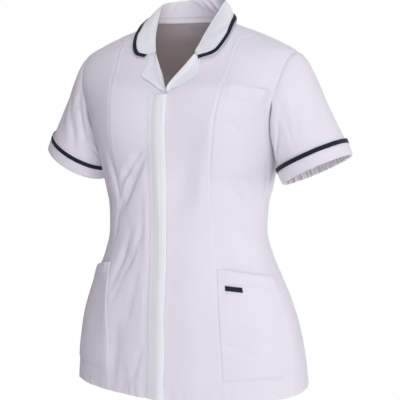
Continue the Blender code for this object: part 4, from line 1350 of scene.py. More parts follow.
def outline_places(outline, row_count, column_step):
    """Rows and columns inside an outline, and shares up and across it."""
    first = outline["rows"][0][0]
    last = outline["rows"][-1][0]
    columns = lines(first, last, column_step)
    up, column = np.meshgrid(np.linspace(0, 1, row_count), columns, indexing="ij")
    bottom = smooth_read(outline, "bottom_row", column)
    top = smooth_read(outline, "top_row", column)
    return between(bottom, top, up), column, up, (column - first) / (last - first)


def make_pocket(name, panel, outline, mouth_lift, hem_groove):
    """A patch pocket: sewn down on three sides, slightly full, and open at the top."""
    row, column, up, across = outline_places(outline, POCKET_ROWS, POCKET_COLUMN_STEP)
    inside = ramp(across, 0.0, POCKET_SIDE) * (1 - ramp(across, 1 - POCKET_SIDE, 1.0))
    full = inside * ramp(up, 0.0, POCKET_FOOT)
    mouth = inside * ramp(up, POCKET_MOUTH, 1.0)
    tall = spread(panel_points(panel, row, column)[0], 0)
    from_mouth = tall[-1:] - tall
    groove = hem_groove * hump(from_mouth - POCKET_HEM, POCKET_GROOVE_WIDTH)
    folded = 1 - ramp(from_mouth, POCKET_HEM - POCKET_HEM_EDGE, POCKET_HEM)
    lift = LAYER_REST + POCKET_FULL * full + mouth_lift * mouth + POCKET_HEM_THICKER * folded - groove
    return layer(name + "_cloth", panel, row, column, np.maximum(lift, POCKET_LEAST), [white], name)


def make_label():
    """The bare navy label. It keeps clear of the fullness of the pocket that it is sewn to."""
    row, column = outline_places(POCKET_LABEL, LABEL_ROWS, LABEL_COLUMN_STEP)[:2]
    lift = LABEL_LIFT + LABEL_WAVE * np.sin(row * LABEL_WAVE_RATE)
    made = layer("pocket_label_cloth", "front_side_left", row, column, lift, [navy],
                 "pocket_label", "navy_cloth")
    cuts["pocket_left_cloth"]["with_pieces"].append(made)
    del cuts[made.name]
    return made


for pocket in POCKETS["rows"]:
    made = make_pocket(*pocket)
    print(made.name, len(made.data.polygons), "faces", cuts[made.name]["flat"])
label = make_label()
print(label.name, len(label.data.polygons), "faces")

# %% [markdown]
# ## Sleeves and cuffs
#
# A short sleeve is a tube from the armhole to the cuff. The armhole is a line on the body form and
# the cuff is a tilted oval, so the tube is a blend between the two, a little fuller near the top
# where the sleeve head is eased in. The cuff is the sleeve's own end turned up and pressed, with a
# flat navy strip along its upper edge.

# %% Sleeve form
CUFF_BAND = 0.027
CUFF_TRIM = 0.0072
CAP_PEAK = 0.18
CAP_SHARPNESS = 1.5
CAP_AT_SIDES = 0.4
SEAM_GAP = 0.0003
SLEEVES = {
    "columns": ("side", "middle", "outward_half", "forward_half", "cap"),
    "rows": (
        (1, (0.2370, 0.012, -0.2505), (0.0600, -0.0037, 0.0267), (0.0053, -0.0583, 0.0028), 0.009),
        (-1, (0.2342, 0.012, -0.2437), (0.0537, -0.0030, 0.0303), (-0.0049, -0.0577, -0.0085), 0.005),
    ),
}
CAP_END_POWER = 4
TRIM_COUNT = 144
SLEEVE_COUNT = 220
print("sleeves:", len(SLEEVES["rows"]), "with", SLEEVE_COUNT, "places round each")


def armhole_loop(shape, count):
    """The armhole seam, its outward direction and the direction into the hole, wearer's left."""
    side = shape[0]
    around = np.linspace(0, 2 * math.pi, count, endpoint=False)
    front = around <= math.pi
    turn = np.where(front, around, 2 * math.pi - around)
    front_angle, front_height = armhole(turn, 1)
    back_angle, back_height = armhole(turn, -1)
    angle = np.where(front, front_angle, back_angle)
    height = np.where(front, front_height, back_height)
    loop, outwards = worn(angle * side, height)
    loop = loop * (side, 1, 1)
    outwards = outwards * (side, 1, 1)
    along = np.roll(loop, -1, axis=0) - np.roll(loop, 1, axis=0)
    return loop, outwards, unit(np.cross(outwards, along))


def sleeve_rows(shape, shares, bands, count):
    """Outer points of a sleeve at shares of its length, and then at heights above the hem."""
    middle, outward, forward = [np.array(vector) for vector in shape[1:4]]
    cap = shape[4]
    around = np.linspace(0, 2 * math.pi, count, endpoint=False)
    loop, outwards, into_hole = armhole_loop(shape, count)
    hem = middle + np.cos(around)[:, None] * outward + np.sin(around)[:, None] * forward
    upwards = unit(np.cross(outward, forward))
    upwards = upwards * np.sign(upwards[2])
    lower = ((1 - np.cos(around)) / 2)[:, None]
    start = loop + (into_hole + outwards * lower) * SEAM_GAP
    cuff_top = hem + upwards * CUFF_BAND
    grid = []
    for share in shares:
        line = between(start, cuff_top, share)
        swell = cap * share / CAP_PEAK * math.exp(1 - share / CAP_PEAK) * (1 - share ** CAP_END_POWER)
        away = unit(line - line.mean(axis=0))
        over_top = np.clip(np.cos(around), 0, 1) ** CAP_SHARPNESS
        fuller = over_top + CAP_AT_SIDES * np.abs(np.sin(around))
        grid.append(line + away * (swell * fuller)[:, None])
    for band in bands:
        grid.append(hem + upwards * band)
    return np.array(grid), around


def tube_normals(points):
    """Outward direction at each point of a tube's grid."""
    round_step = np.roll(points, -1, axis=1) - np.roll(points, 1, axis=1)
    up_step = np.gradient(points, axis=0)
    return unit(np.cross(round_step, up_step))


# %% Creases and folds of the sleeves
# Angle round the tube from its top, share of its length, slant, run, reach and depth
SLEEVE_CREASES = {
    "columns": ("side", "around", "share", "lean", "length", "reach", "depth"),
    "rows": (
        (1, 72.0, 0.50, 0.25, 0.70, 0.0050, 0.0008),
        (1, 92.0, 0.62, 0.10, 0.60, 0.0045, 0.0008),
        (1, 45.0, 0.30, 0.60, 0.45, 0.0080, 0.0016),
        (1, 28.0, 0.55, 0.80, 0.60, 0.0110, 0.0014),
        (1, 130.0, 0.55, 0.90, 0.60, 0.0080, 0.0022),
        (1, 200.0, 0.50, -0.30, 0.70, 0.0080, 0.0022),
        (1, 250.0, 0.55, -0.70, 0.60, 0.0090, 0.0022),
        (1, 300.0, 0.45, -0.80, 0.60, 0.0120, 0.0018),
        (-1, 40.0, 0.62, 0.55, 0.55, 0.0130, 0.0015),
        (-1, 66.0, 0.50, 0.75, 0.60, 0.0120, 0.0014),
        (-1, 88.0, 0.70, 0.20, 0.50, 0.0100, 0.0015),
        (-1, 106.0, 0.45, 0.45, 0.90, 0.0100, 0.0030),
        (-1, 78.0, 0.22, -0.10, 0.30, 0.0060, 0.0018),
        (-1, 130.0, 0.55, 0.80, 0.60, 0.0080, 0.0022),
        (-1, 205.0, 0.50, -0.30, 0.70, 0.0080, 0.0022),
        (-1, 245.0, 0.55, -0.60, 0.60, 0.0090, 0.0022),
        (-1, 305.0, 0.45, -0.80, 0.60, 0.0120, 0.0018),
    ),
}
SLEEVE_RADIUS = 0.062
SLEEVE_LENGTH = 0.17
# The cloth is pushed up beside a crease: how far off, how wide and how high, in shares of it
BESIDE_PLACE = 1.8
BESIDE_WIDTH = 1.2
BESIDE_HEIGHT = 0.5
# The fold where the lower half of a sleeve falls in under the body's edge
FOLD_UNDER_START = (96.0, 114.0)
FOLD_UNDER_END = (150.0, 190.0)
FOLD_UNDER = {
    "columns": ("side", "length", "depth"),
    "rows": ((-1, 0.080, 0.0080), (1, 0.036, 0.0240)),
}
FOLD_UNDER_LEAN = 0.6
FOLD_UNDER_LESS = 0.6
FOLD_UNDER_SHARES = (0.004, 0.008, 0.013, 0.023, 0.028, 0.032, 0.041, 0.046, 0.050, 0.060, 0.066)


def sleeve_creases(side, around, share):
    """How far the creases of one sleeve press its cloth in."""
    total = 0 * around * share
    for on_side, middle, at, lean, length, reach, depth in SLEEVE_CREASES["rows"]:
        if on_side != side:
            continue
        x = wrapped(around - math.radians(middle)) * SLEEVE_RADIUS
        z = (share - at) * SLEEVE_LENGTH
        long_way = (z + lean * x) / math.hypot(1, lean)
        across = (x - lean * z) / math.hypot(1, lean)
        fade = hump(long_way, length * SLEEVE_LENGTH / 2)
        beside = BESIDE_HEIGHT * hump(across - BESIDE_PLACE * reach, BESIDE_WIDTH * reach)
        total = total + depth * fade * (hump(across, reach) - beside)
    return total


def fold_under(side, around, share):
    """How far the sleeve lies below the body's edge, front and back alike."""
    length = smooth_read(FOLD_UNDER, "length", side)
    depth = smooth_read(FOLD_UNDER, "depth", side)
    from_top = np.degrees(np.abs(wrapped(around)))
    less = FOLD_UNDER_LESS * ramp(from_top, *FOLD_UNDER_END)
    return depth * ramp(from_top, *FOLD_UNDER_START) * (1 - less) * hump(share, length)


print("sleeve creases:", len(SLEEVE_CREASES["rows"]))


# %% Sleeves, cuffs and trims
TUCK = (0.0040, 0.0022)
TUCK_TURN = 0.6
SLEEVE_STEP = 0.018
SLEEVE_BANDS = (0.8, 0.6, 0.4, 0.2, 0.0)
CREASE_FADE_TOP = (0.0, 0.12)
CREASE_FADE_CUFF = (0.92, 1.0)
FOLD_NORMAL_ROW = 3
CUFF_REST = 0.0006
CUFF_CLOTH = 0.0010
CUFF_FACING = 0.020
CUFF_FULL = 0.0007
CUFF_DOWN_COUNT = 12
CUFF_INSIDE_COUNT = 10
CUFF_TURN_SHARE = 0.4
# Waves round a tube: how many, where they start and how high they are
CUFF_WAVES = ((3, 1.0, 0.0003), (8, 2.0, 0.0003))
RUCHE_WAVES = ((31, 0.4, 0.0005), (53, 1.9, 0.0008), (79, 4.4, 0.0009), (101, 0.7, 0.0005))
RUCHE_AT_HEM = 0.22
RUCHE_HEM_START = 0.7
RUCHE_SINK = 0.0012
RUCHE_GROWS = (0.4, 1.0)
FACING_COUNT = 432
TRIM_ROWS = 8
TRIM_REST = 0.0009
TRIM_CLOTH = 0.0008
TRIM_ABOVE = 0.0002


def tube_piece(name, outer, inner, side, materials, replaced, inner_slot=0):
    """A tube of cloth. The sleeve is worked out as the wearer's left and mirrored for the right."""
    mirror = np.array((side, 1.0, 1.0))
    outer = outer * mirror
    inner = inner * mirror
    if side < 0:
        outer = outer[:, ::-1]
        inner = inner[:, ::-1]
    made = wall(name, outer[::-1], inner[::-1], materials, True, inner_slot)
    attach(made, "root")
    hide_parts(*replaced)
    keep_face(made, outer[::-1], closed=True)
    return made


def tucked_rows(shape, first):
    """Two rows before a sleeve's own: its seam allowance, which lies under the body's edge."""
    loop, outwards, into_hole = armhole_loop(shape, first.shape[0])
    back, depth = TUCK
    under = loop - into_hole * back - outwards * depth
    turn = first - outwards * (depth * TUCK_TURN) - into_hole * SEAM_GAP
    return np.stack([under, turn])


def make_sleeve(shape):
    """One sleeve: its allowance under the body's edge, the tube, its creases and its fold."""
    side = int(shape[0])
    word = "left" if side > 0 else "right"
    shares = lines(0.0, 1.0, SLEEVE_STEP, FOLD_UNDER_SHARES)
    bands = [CUFF_BAND * band for band in SLEEVE_BANDS]
    points, around = sleeve_rows(shape, shares, bands, SLEEVE_COUNT)
    normals = tube_normals(points)
    share = np.concatenate([shares, np.ones(len(bands))])[:, None]
    fade = ramp(share, *CREASE_FADE_TOP) * (1 - ramp(share, *CREASE_FADE_CUFF))
    pressed = sleeve_creases(side, around[None, :], share) * fade
    points = points - normals * pressed[..., None]
    outwards = armhole_loop(shape, SLEEVE_COUNT)[1]
    outwards = unit(normals[FOLD_NORMAL_ROW] + outwards * FOLD_UNDER_LEAN)
    points = points - outwards[None] * fold_under(side, around[None, :], share)[..., None]
    points = np.concatenate([tucked_rows(shape, points[0]), points])
    inner = points - tube_normals(points) * SHOWN_CLOTH
    # The inner face gets the inside finish, which is painted shade
    made = tube_piece("sleeve_%s_cloth" % word, points, inner, side, [white, white_inside_painted_shade],
                      ["sleeve_" + word], 1)
    note_cut(made, points, "draped", ["front_side_%s_cloth" % word, "back_panel_cloth"], closed=True)
    return made


def round_waves(waves, around):
    """Sum of a few even waves round a tube."""
    return sum(height * np.sin(count * around + start) for count, start, height in waves)


def make_cuff(shape):
    """The turned-up cuff band and its facing, one folded tube: down outside, round, and up inside."""
    side = int(shape[0])
    word = "left" if side > 0 else "right"
    down = np.linspace(CUFF_BAND, 0.0, CUFF_DOWN_COUNT)
    up = np.linspace(0.0, CUFF_FACING, CUFF_INSIDE_COUNT)
    base, around = sleeve_rows(shape, [1.0], np.concatenate([down, up]), FACING_COUNT)
    base, facing = base[1:CUFF_DOWN_COUNT + 1], base[CUFF_DOWN_COUNT + 1:]
    out = tube_normals(base)
    below = unit(base[-1] - base[-2])
    full = CUFF_FULL * np.sin(math.pi * np.linspace(0, 1, CUFF_DOWN_COUNT))[:, None]
    lift = (CUFF_REST + full + np.abs(round_waves(CUFF_WAVES, around))[None, :])[..., None]
    ruche = round_waves(RUCHE_WAVES, around)
    at_hem = (RUCHE_AT_HEM * ruche)[:, None]
    near_hem = ramp(np.linspace(0, 1, CUFF_DOWN_COUNT), RUCHE_HEM_START, 1.0)[:, None, None]
    grow = np.linspace(*RUCHE_GROWS, CUFF_INSIDE_COUNT)[:, None]
    sunk = SHOWN_CLOTH + CUFF_REST + CUFF_CLOTH + (ruche + RUCHE_SINK)[None, :] * grow
    outer = np.concatenate([
        base + out * (lift + CUFF_CLOTH) + below[None] * at_hem[None] * near_hem,
        (base[-1] + below * (CUFF_CLOTH * (1 + CUFF_TURN_SHARE) + at_hem))[None],
        facing - out[-1:] * sunk[..., None],
    ])
    inner = np.concatenate([
        base + out * lift,
        (base[-1] + below * (CUFF_CLOTH * CUFF_TURN_SHARE + at_hem))[None],
        facing - out[-1:] * (sunk - CUFF_CLOTH)[..., None],
    ])
    made = tube_piece("cuff_%s_cloth" % word, outer, inner, side, [white, white_facing_painted_shade],
                      ["cuff_" + word])
    # The facing rows get the facing finish: painted highlights and painted shade in streaks
    slots = np.zeros(len(made.data.polygons), dtype=np.int32)
    slots[:CUFF_INSIDE_COUNT * FACING_COUNT] = 1
    made.data.polygons.foreach_set("material_index", slots)
    trim = make_cuff_trim(shape, side, word)
    note_cut(made, outer, "folded", ["sleeve_%s_cloth" % word], [trim], closed=True)
    return made


def make_cuff_trim(shape, side, word):
    """The flat navy strip round the top of a cuff."""
    strip = np.linspace(CUFF_BAND + TRIM_ABOVE, CUFF_BAND - CUFF_TRIM, TRIM_ROWS)
    base, around = sleeve_rows(shape, [1.0], strip, TRIM_COUNT)
    out = tube_normals(base[1:])
    wave = np.abs(round_waves(CUFF_WAVES, around))
    under = moved_out(base[1:], out, CUFF_REST + CUFF_CLOTH + TRIM_REST + wave)
    over = under + out * TRIM_CLOTH
    return tube_piece("cuff_trim_%s_cloth" % word, over, under, side, [navy],
                      ["cuff_trim_" + word])


for shape in SLEEVES["rows"]:
    for made in (make_sleeve(shape), make_cuff(shape)):
        print(made.name, len(made.data.polygons), "faces", cuts[made.name]["flat"])

# %% [markdown]
# ## Collar
#
# The collar is one band of cloth. It stands up from the neck seam, rolls over and falls outside.
# A table gives the roll line and the outer edge at eleven stations from the front to the centre
# back, and the cloth is swept through them. The navy strip follows its outer edge.

# %% Collar stations and path
COLLAR = {
    "columns": ("station", "roll_x", "roll_y", "roll_z", "edge_x", "edge_y", "edge_z"),
    "rows": (
        (0.0, 0.0385, -0.0570, -0.0500, 0.0510, -0.0645, -0.0610),
        (1.0, 0.0430, -0.0455, -0.0370, 0.0680, -0.0640, -0.0585),
        (2.0, 0.0475, -0.0330, -0.0220, 0.0815, -0.0550, -0.0460),
        (3.0, 0.0525, -0.0150, -0.0020, 0.0895, -0.0300, -0.0200),
        (4.0, 0.0580, 0.0040, 0.0190, 0.0900, -0.0020, 0.0005),
        (5.0, 0.0610, 0.0190, 0.0350, 0.0830, 0.0190, 0.0085),
        (6.0, 0.0575, 0.0340, 0.0400, 0.0740, 0.0385, 0.0040),
        (7.0, 0.0475, 0.0470, 0.0425, 0.0640, 0.0535, -0.0010),
        (8.0, 0.0340, 0.0550, 0.0440, 0.0480, 0.0640, -0.0040),
        (9.0, 0.0170, 0.0590, 0.0450, 0.0255, 0.0695, -0.0050),
        (10.0, 0.0000, 0.0605, 0.0450, 0.0000, 0.0710, -0.0050),
    ),
}
# How far the roll line stands to the wearer's left of the table's place, for both sides
ROLL_SHIFT = {
    "columns": ("station", "across"),
    "rows": ((0.0, 0.0050), (1.0, 0.0030), (2.0, 0.0010), (3.0, 0.0), (10.0, 0.0)),
}
# How much longer the fall is than the table gives, on the wearer's left and right
FALL_EXTRA = {
    "columns": ("station", "left", "right"),
    "rows": (
        (0.0, 0.0060, 0.0000),
        (1.0, 0.0035, -0.0020),
        (2.0, 0.0085, -0.0030),
        (3.0, 0.0070, -0.0020),
        (4.5, 0.0000, 0.0000),
        (10.0, 0.0000, 0.0000),
    ),
}
COLLAR_BACK_STATION = 10
COLLAR_FOOT_GAP = 0.0007
STAND_TOP_PLACE = 2.8
COLLAR_FOLD_HALF = 0.0012
COLLAR_ARCH = 0.12
FALL_SHARES = (0.35, 0.7, 0.88, 1.0)
COLLAR_TRIM = 0.0072
COLLAR_TRIM_ROWS = 7
COLLAR_TRIM_REST = 0.0005
COLLAR_TRIM_CLOTH = 0.0009
STATION_STEP = 0.10
STATION_EDGE = 0.03
LAST_STATION = 20.0
NECK_CORNER_STATION = 4
PATH_STEP = 0.10
LAST_PATH_PLACE = 8.0
PATH_LINES = (0.02, 0.07, 0.12, 0.42, 0.47, 0.52)
print("collar stations:", len(COLLAR["rows"]))


def neck_edge(stations):
    """The neck seam by station: left gorge at 0, round the back, right gorge at 20."""
    up = GORGE_ROW + stations
    down = GORGE_ROW + LAST_STATION - stations
    left = panel_points("front_centre_left", np.clip(up, GORGE_ROW, TOP_ROW), 0 * stations)[0]
    right = panel_points("front_centre_right", np.clip(down, GORGE_ROW, TOP_ROW), 0 * stations)[0]
    column = BACK_NECK_START + stations - NECK_CORNER_STATION
    behind = panel_points("back_panel", TOP_ROW + 0 * stations, column)[0]
    at_left = (stations <= NECK_CORNER_STATION)[:, None]
    at_right = (stations >= LAST_STATION - NECK_CORNER_STATION)[:, None]
    return np.where(at_left, left, np.where(at_right, right, behind))


def blend_rows(rows, places):
    """A smooth line through a few rows of points, read at any place between them."""
    rows = np.asarray(rows)
    padded = np.concatenate([rows[:1] * 2 - rows[1:2], rows, rows[-1:] * 2 - rows[-2:-1]])
    result = []
    for place in places:
        i = int(min(math.floor(place), len(rows) - 2))
        t = place - i
        a, b, c, d = padded[i], padded[i + 1], padded[i + 2], padded[i + 3]
        value = 2 * b + (c - a) * t + (2 * a - 5 * b + 4 * c - d) * t ** 2
        value = value + (3 * b - a - 3 * c + d) * t ** 3
        result.append(value / 2)
    return np.array(result)


def collar_rows(stations):
    """Key rows of the collar: foot, stand, roll, then down the fall to its outer edge."""
    neck = neck_edge(stations)
    middle = LAST_STATION / 2
    place = COLLAR_BACK_STATION * (1 - np.abs(stations - middle) / middle)
    side = np.where(stations < middle, 1.0, -1.0)
    roll = np.stack([smooth_read(COLLAR, "roll_" + axis, place) for axis in "xyz"], axis=1)
    edge = np.stack([smooth_read(COLLAR, "edge_" + axis, place) for axis in "xyz"], axis=1)
    roll[:, 0] *= side
    roll[:, 0] += smooth_read(ROLL_SHIFT, "across", place)
    edge[:, 0] *= side
    longer = np.where(side > 0, smooth_read(FALL_EXTRA, "left", place),
                      smooth_read(FALL_EXTRA, "right", place))
    edge = edge + unit(edge - roll) * longer[:, None]
    outwards = unit(edge - neck)
    rise = unit(roll - neck)
    foot = neck + rise * COLLAR_FOOT_GAP
    below_roll = roll - rise * COLLAR_FOLD_HALF
    stand_top = below_roll - outwards * COLLAR_FOLD_HALF / 2
    fall_top = below_roll + outwards * COLLAR_FOLD_HALF
    arch = rise * COLLAR_ARCH * np.linalg.norm(edge - fall_top, axis=1, keepdims=True)
    rows = [foot, (foot + stand_top) / 2, stand_top, roll, fall_top]
    for share in FALL_SHARES:
        rows.append(fall_top * (1 - share) + edge * share + arch * 4 * share * (1 - share))
    return rows


# Creases in the collar: station, how far along its path, how they run, and their depth
STAND_CREASES = {
    "columns": ("station", "path_place", "slant", "reach", "depth"),
    "rows": (
        (8.3, 1.4, 1.6, 0.0040, 0.0028),
        (9.3, 1.5, 1.7, 0.0038, 0.0032),
        (10.3, 1.7, 1.8, 0.0038, 0.0020),
        (13.2, 1.5, -0.9, 0.0050, 0.0010),
        (2.6, 6.0, 0.9, 0.0050, 0.0012),
        (3.4, 5.6, 0.8, 0.0050, 0.0010),
        (17.6, 6.4, -0.7, 0.0080, 0.0006),
        (9.0, 6.6, 0.4, 0.0080, 0.0008),
        (12.0, 6.6, -0.4, 0.0080, 0.0008),
    ),
}
STATION_WIDTH = 0.021
PATH_STEP_WIDTH = 0.018
STAND_CREASE_LENGTH = 0.022
# The neck seam's allowance shows as a flat ridge round the foot of the stand
NECK_RIDGE = {"low": 0.12, "high": 0.42, "edge": 0.10, "rise": 0.0007}


def collar_creases(stations, places):
    """How far the collar's creases press its cloth in, on the grid of its path."""
    place, station = np.meshgrid(places, stations, indexing="ij")
    total = 0 * place
    for at, path_place, slant, reach, depth in STAND_CREASES["rows"]:
        x = (station - at) * STATION_WIDTH
        z = (place - path_place) * PATH_STEP_WIDTH
        across = (x - slant * z) / math.hypot(1, slant)
        long_way = (z + slant * x) / math.hypot(1, slant)
        total = total + depth * hump(across, reach) * hump(long_way, STAND_CREASE_LENGTH)
    ridge = ramp(place, NECK_RIDGE["low"] - NECK_RIDGE["edge"], NECK_RIDGE["low"])
    ridge = ridge * (1 - ramp(place, NECK_RIDGE["high"], NECK_RIDGE["high"] + NECK_RIDGE["edge"]))
    return total - NECK_RIDGE["rise"] * ridge


def make_collar():
    """Collar cloth and its navy edge."""
    ends = (STATION_EDGE, LAST_STATION - STATION_EDGE)
    stations = lines(0.0, LAST_STATION, STATION_STEP, ends)
    places = lines(0.0, LAST_PATH_PLACE, PATH_STEP, PATH_LINES)
    path = blend_rows(collar_rows(stations), places)
    normals = unit(np.cross(np.gradient(path, axis=1), np.gradient(path, axis=0)))
    path = path - normals * collar_creases(stations, places)[..., None]
    half = SHOWN_CLOTH / 2
    made = wall("collar_cloth", path + normals * half, path - normals * half, [white_double, white])
    # The stand is double cloth like the fall, but gets the plain cloth's darker tone: painted shade
    # inside the collar
    stand_rows = int(np.searchsorted(places, STAND_TOP_PLACE))
    spans = len(stations) - 1
    for first in (0, (len(places) - 1) * spans):
        for number in range(first, first + stand_rows * spans):
            made.data.polygons[number].material_index = 1
    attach(made, "root")
    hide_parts("collar")
    keep_face(made, path - normals * half, facing=-1)
    distances = np.linspace(COLLAR_TRIM, 0.0, COLLAR_TRIM_ROWS)
    base = np.stack([line_inside(path, "last_row", distance) for distance in distances])
    out = -normals[-1]
    base = base + out * (half + COLLAR_TRIM_REST)
    over = base + out * COLLAR_TRIM_CLOTH
    trim = wall("collar_trim_cloth", base, over, [navy])
    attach(trim, "root")
    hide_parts("collar_trim")
    keep_face(trim, over)
    panels = ["front_centre_left_cloth", "front_centre_right_cloth", "back_panel_cloth"]
    note_cut(made, path, "folded", panels, [trim])
    return made


collar = make_collar()
print(collar.name, len(collar.data.polygons), "faces", cuts[collar.name]["flat"])

# %% Neck loop
NECK_LOOP = {
    "columns": ("column", "bottom_row", "top_row"),
    "rows": ((11.75, 24.46, 24.88), (14.25, 24.46, 24.88)),
}
LOOP_ROWS = 8
LOOP_COLUMN_STEP = 0.1
LOOP_REST = 0.0012
LOOP_CLOTH = 0.0008


def make_loop():
    """The short grey strip inside the back, just under the neck seam."""
    row, column = outline_places(NECK_LOOP, LOOP_ROWS, LOOP_COLUMN_STEP)[:2]
    points, normals = panel_points("back_panel", row, column)
    over = points - normals * (SHOWN_CLOTH + LOOP_REST)
    made = wall("neck_loop_cloth", over, over - normals * LOOP_CLOTH, [grey])
    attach(made, "root")
    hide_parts("neck_loop")
    cuts["back_panel_cloth"]["with_pieces"].append(made)
    return made


loop = make_loop()

# %% [markdown]
# ## Stitches
#
# A sewing machine leaves a row of short raised threads, each pulled down at both ends. A row is a
# line read on finished cloth, at a set distance from one of its edges. One node tree puts a
# thread at even steps along every row, turned along the row and square to the cloth. The seams of
# the fronts show no thread, because they are sewn from inside.

# %% One stitch
STITCH_PITCH = 0.0028
STITCH_LENGTH = 0.0023
STITCH_HALF_WIDTH = 0.0003
STITCH_RISE = 0.0003
STITCH_RINGS = 4
STITCH_SIDES = 5
STITCH_SEED = 7
STITCH_SIZES = (0.92, 1.08)
STITCH_TIP = 0.1


def make_stitch_shape():
    """One thread: a short low arch, thin at both ends, along X with its back to +Z."""
    places = []
    for ring in range(STITCH_RINGS + 1):
        share = ring / STITCH_RINGS
        swell = math.sin(math.pi * (STITCH_TIP + (1 - 2 * STITCH_TIP) * share))
        for side in range(STITCH_SIDES):
            turn = 2 * math.pi * side / STITCH_SIDES
            places.append(((share - 0.5) * STITCH_LENGTH,
                           math.cos(turn) * STITCH_HALF_WIDTH * swell,
                           math.sin(turn) * STITCH_RISE * swell))
    faces = [tuple(reversed(range(STITCH_SIDES)))]
    faces.append(tuple(STITCH_RINGS * STITCH_SIDES + side for side in range(STITCH_SIDES)))
    for ring in range(STITCH_RINGS):
        low = ring * STITCH_SIDES
        for side in range(STITCH_SIDES):
            after = (side + 1) % STITCH_SIDES
            faces.append((low + side, low + after, low + STITCH_SIDES + after, low + STITCH_SIDES + side))
    mesh = bpy.data.meshes.new("stitch_shape")
    mesh.from_pydata(places, [], faces)
    mesh.shade_smooth()
    shape = bpy.data.objects.new("stitch_shape", mesh)
    bpy.context.collection.objects.link(shape)
    return shape


stitch_shape = make_stitch_shape()
print("one stitch:", len(stitch_shape.data.polygons), "faces")

# %% The tree that sets a stitch at every step
STITCH_SOCKETS = (
    ("Rows", "NodeSocketGeometry"),
    ("Stitch", "NodeSocketObject"),
    ("Pitch", "NodeSocketFloat"),
    ("Smallest", "NodeSocketFloat"),
    ("Largest", "NodeSocketFloat"),
    ("Seed", "NodeSocketInt"),
    ("Thread", "NodeSocketMaterial"),
)


def stitch_tree():
    """Rows of edges become even points, and each point gets a thread that lies along its row."""
    tree = bpy.data.node_groups.new("stitch_rows", "GeometryNodeTree")
    for name, kind in STITCH_SOCKETS:
        tree.interface.new_socket(name, in_out="INPUT", socket_type=kind)
    tree.interface.new_socket("Stitches", in_out="OUTPUT", socket_type="NodeSocketGeometry")
    given = add_node(tree, "NodeGroupInput")
    curve = add_node(tree, "GeometryNodeMeshToCurve")
    even = add_node(tree, "GeometryNodeResampleCurve")
    even.mode = "LENGTH"
    tangent = add_node(tree, "GeometryNodeInputTangent")
    outwards = add_node(tree, "GeometryNodeInputNamedAttribute", {"Name": "outwards"})
    outwards.data_type = "FLOAT_VECTOR"
    lengthwise = add_node(tree, "FunctionNodeAlignRotationToVector")
    lengthwise.axis = "X"
    upright = add_node(tree, "FunctionNodeAlignRotationToVector")
    upright.axis = "Z"
    upright.pivot_axis = "X"
    shape = add_node(tree, "GeometryNodeObjectInfo")
    size = add_node(tree, "FunctionNodeRandomValue")
    size.data_type = "FLOAT"
    placed = add_node(tree, "GeometryNodeInstanceOnPoints")
    real = add_node(tree, "GeometryNodeRealizeInstances")
    painted = add_node(tree, "GeometryNodeSetMaterial")
    result = add_node(tree, "NodeGroupOutput")
    size_inputs = {socket.identifier: socket for socket in size.inputs}
    size_output = [socket for socket in size.outputs if socket.enabled][0]
    join(
        tree,
        (given.outputs["Rows"], curve.inputs["Mesh"]),
        (curve.outputs["Curve"], even.inputs["Curve"]),
        (given.outputs["Pitch"], even.inputs["Length"]),
        (tangent.outputs["Tangent"], lengthwise.inputs["Vector"]),
        (lengthwise.outputs["Rotation"], upright.inputs["Rotation"]),
        (outwards.outputs["Attribute"], upright.inputs["Vector"]),
        (given.outputs["Stitch"], shape.inputs["Object"]),
        (given.outputs["Smallest"], size_inputs["Min_001"]),
        (given.outputs["Largest"], size_inputs["Max_001"]),
        (given.outputs["Seed"], size_inputs["Seed"]),
        (even.outputs["Curve"], placed.inputs["Points"]),
        (shape.outputs["Geometry"], placed.inputs["Instance"]),
        (upright.outputs["Rotation"], placed.inputs["Rotation"]),
        (size_output, placed.inputs["Scale"]),
        (placed.outputs["Instances"], real.inputs["Geometry"]),
        (real.outputs["Geometry"], painted.inputs["Geometry"]),
        (given.outputs["Thread"], painted.inputs["Material"]),
        (painted.outputs["Geometry"], result.inputs["Stitches"]),
    )
    return tree


def sew(name, rows, thread):
    """Turn rows of (points, outward directions) into a mesh of stitches."""
    edges = []
    first = 0
    for row in rows:
        last = first + len(row[0])
        edges += [(i, i + 1) for i in range(first, last - 1)]
        first = last
    guide = bpy.data.meshes.new(name)
    guide.from_pydata(np.concatenate([row[0] for row in rows]).tolist(), edges, [])
    directions = guide.attributes.new("outwards", "FLOAT_VECTOR", "POINT")
    directions.data.foreach_set("vector", np.concatenate([row[1] for row in rows]).ravel())
    holder = bpy.data.objects.new(name + "_guide", guide)
    bpy.context.collection.objects.link(holder)
    modifier = holder.modifiers.new("stitches", "NODES")
    modifier.node_group = stitches
    values = {"Stitch": stitch_shape, "Pitch": STITCH_PITCH, "Smallest": STITCH_SIZES[0],
              "Largest": STITCH_SIZES[1], "Seed": STITCH_SEED, "Thread": thread}
    for socket in stitches.interface.items_tree:
        if socket.name in values:
            modifier[socket.identifier] = values[socket.name]
    ready = holder.evaluated_get(bpy.context.evaluated_depsgraph_get())
    mesh = bpy.data.meshes.new_from_object(ready)
    made = bpy.data.objects.new(name, mesh)
    bpy.context.collection.objects.link(made)
    bpy.data.objects.remove(holder)
    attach(made, "root")
    return made


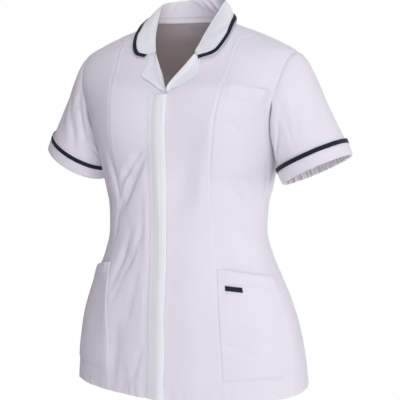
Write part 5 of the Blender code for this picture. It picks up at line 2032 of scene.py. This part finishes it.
stitches = stitch_tree()
print("stitch tree:", len(stitches.nodes), "nodes")

# %% Rows of stitches
STITCH_STANDS = 0.0001
EDGE_STITCH = 0.0016
TRIM_STITCH = 0.0011
BAND_STITCHES = (0.0020, 0.0080)
PLACKET_STITCH = 0.0096
STITCH_ROWS = {
    "columns": ("piece", "border", "distance"),
    "rows": (
        *((panel + "_cloth", "first_row", HEM_STITCH) for panel in PANELS),
        ("placket_cloth", "first_row", HEM_STITCH),
        ("placket_cloth", "last_column", PLACKET_STITCH),
        ("lapel_left_cloth", "last_column", EDGE_STITCH),
        ("lapel_right_cloth", "first_column", EDGE_STITCH),
        ("chest_pocket_cloth", "first_row", EDGE_STITCH),
        ("chest_pocket_cloth", "last_column", EDGE_STITCH),
        ("chest_pocket_cloth", "last_row", POCKET_HEM),
        ("pocket_left_cloth", "first_row", EDGE_STITCH),
        ("pocket_left_cloth", "last_row", POCKET_HEM),
        ("pocket_right_cloth", "first_row", EDGE_STITCH),
        ("pocket_right_cloth", "last_row", POCKET_HEM),
        ("collar_cloth", "first_row", BAND_STITCHES[0]),
        ("collar_cloth", "first_row", BAND_STITCHES[1]),
        *((trim + "_cloth", border, TRIM_STITCH)
          for trim in ("collar_trim", "cuff_trim_left", "cuff_trim_right")
          for border in ("first_row", "last_row")),
        ("pocket_label_cloth", "first_column", TRIM_STITCH),
        ("pocket_label_cloth", "last_column", TRIM_STITCH),
    ),
}


def stitch_row(piece, border, distance):
    """Points just above a piece's outer face, and the outward directions there."""
    grid, outwards = shown_faces[piece]
    out = unit(line_inside(grid, border, distance, outwards))
    return line_inside(grid, border, distance) + out * STITCH_STANDS, out


for piece in sorted({row[0] for row in STITCH_ROWS["rows"]}):
    rows = [stitch_row(*row) for row in STITCH_ROWS["rows"] if row[0] == piece]
    dark = "trim" in piece or "label" in piece
    made = sew(piece.replace("_cloth", "_stitches"), rows, navy_thread if dark else white_thread)
    print(made.name, len(made.data.polygons), "faces")
bpy.data.objects.remove(stitch_shape)
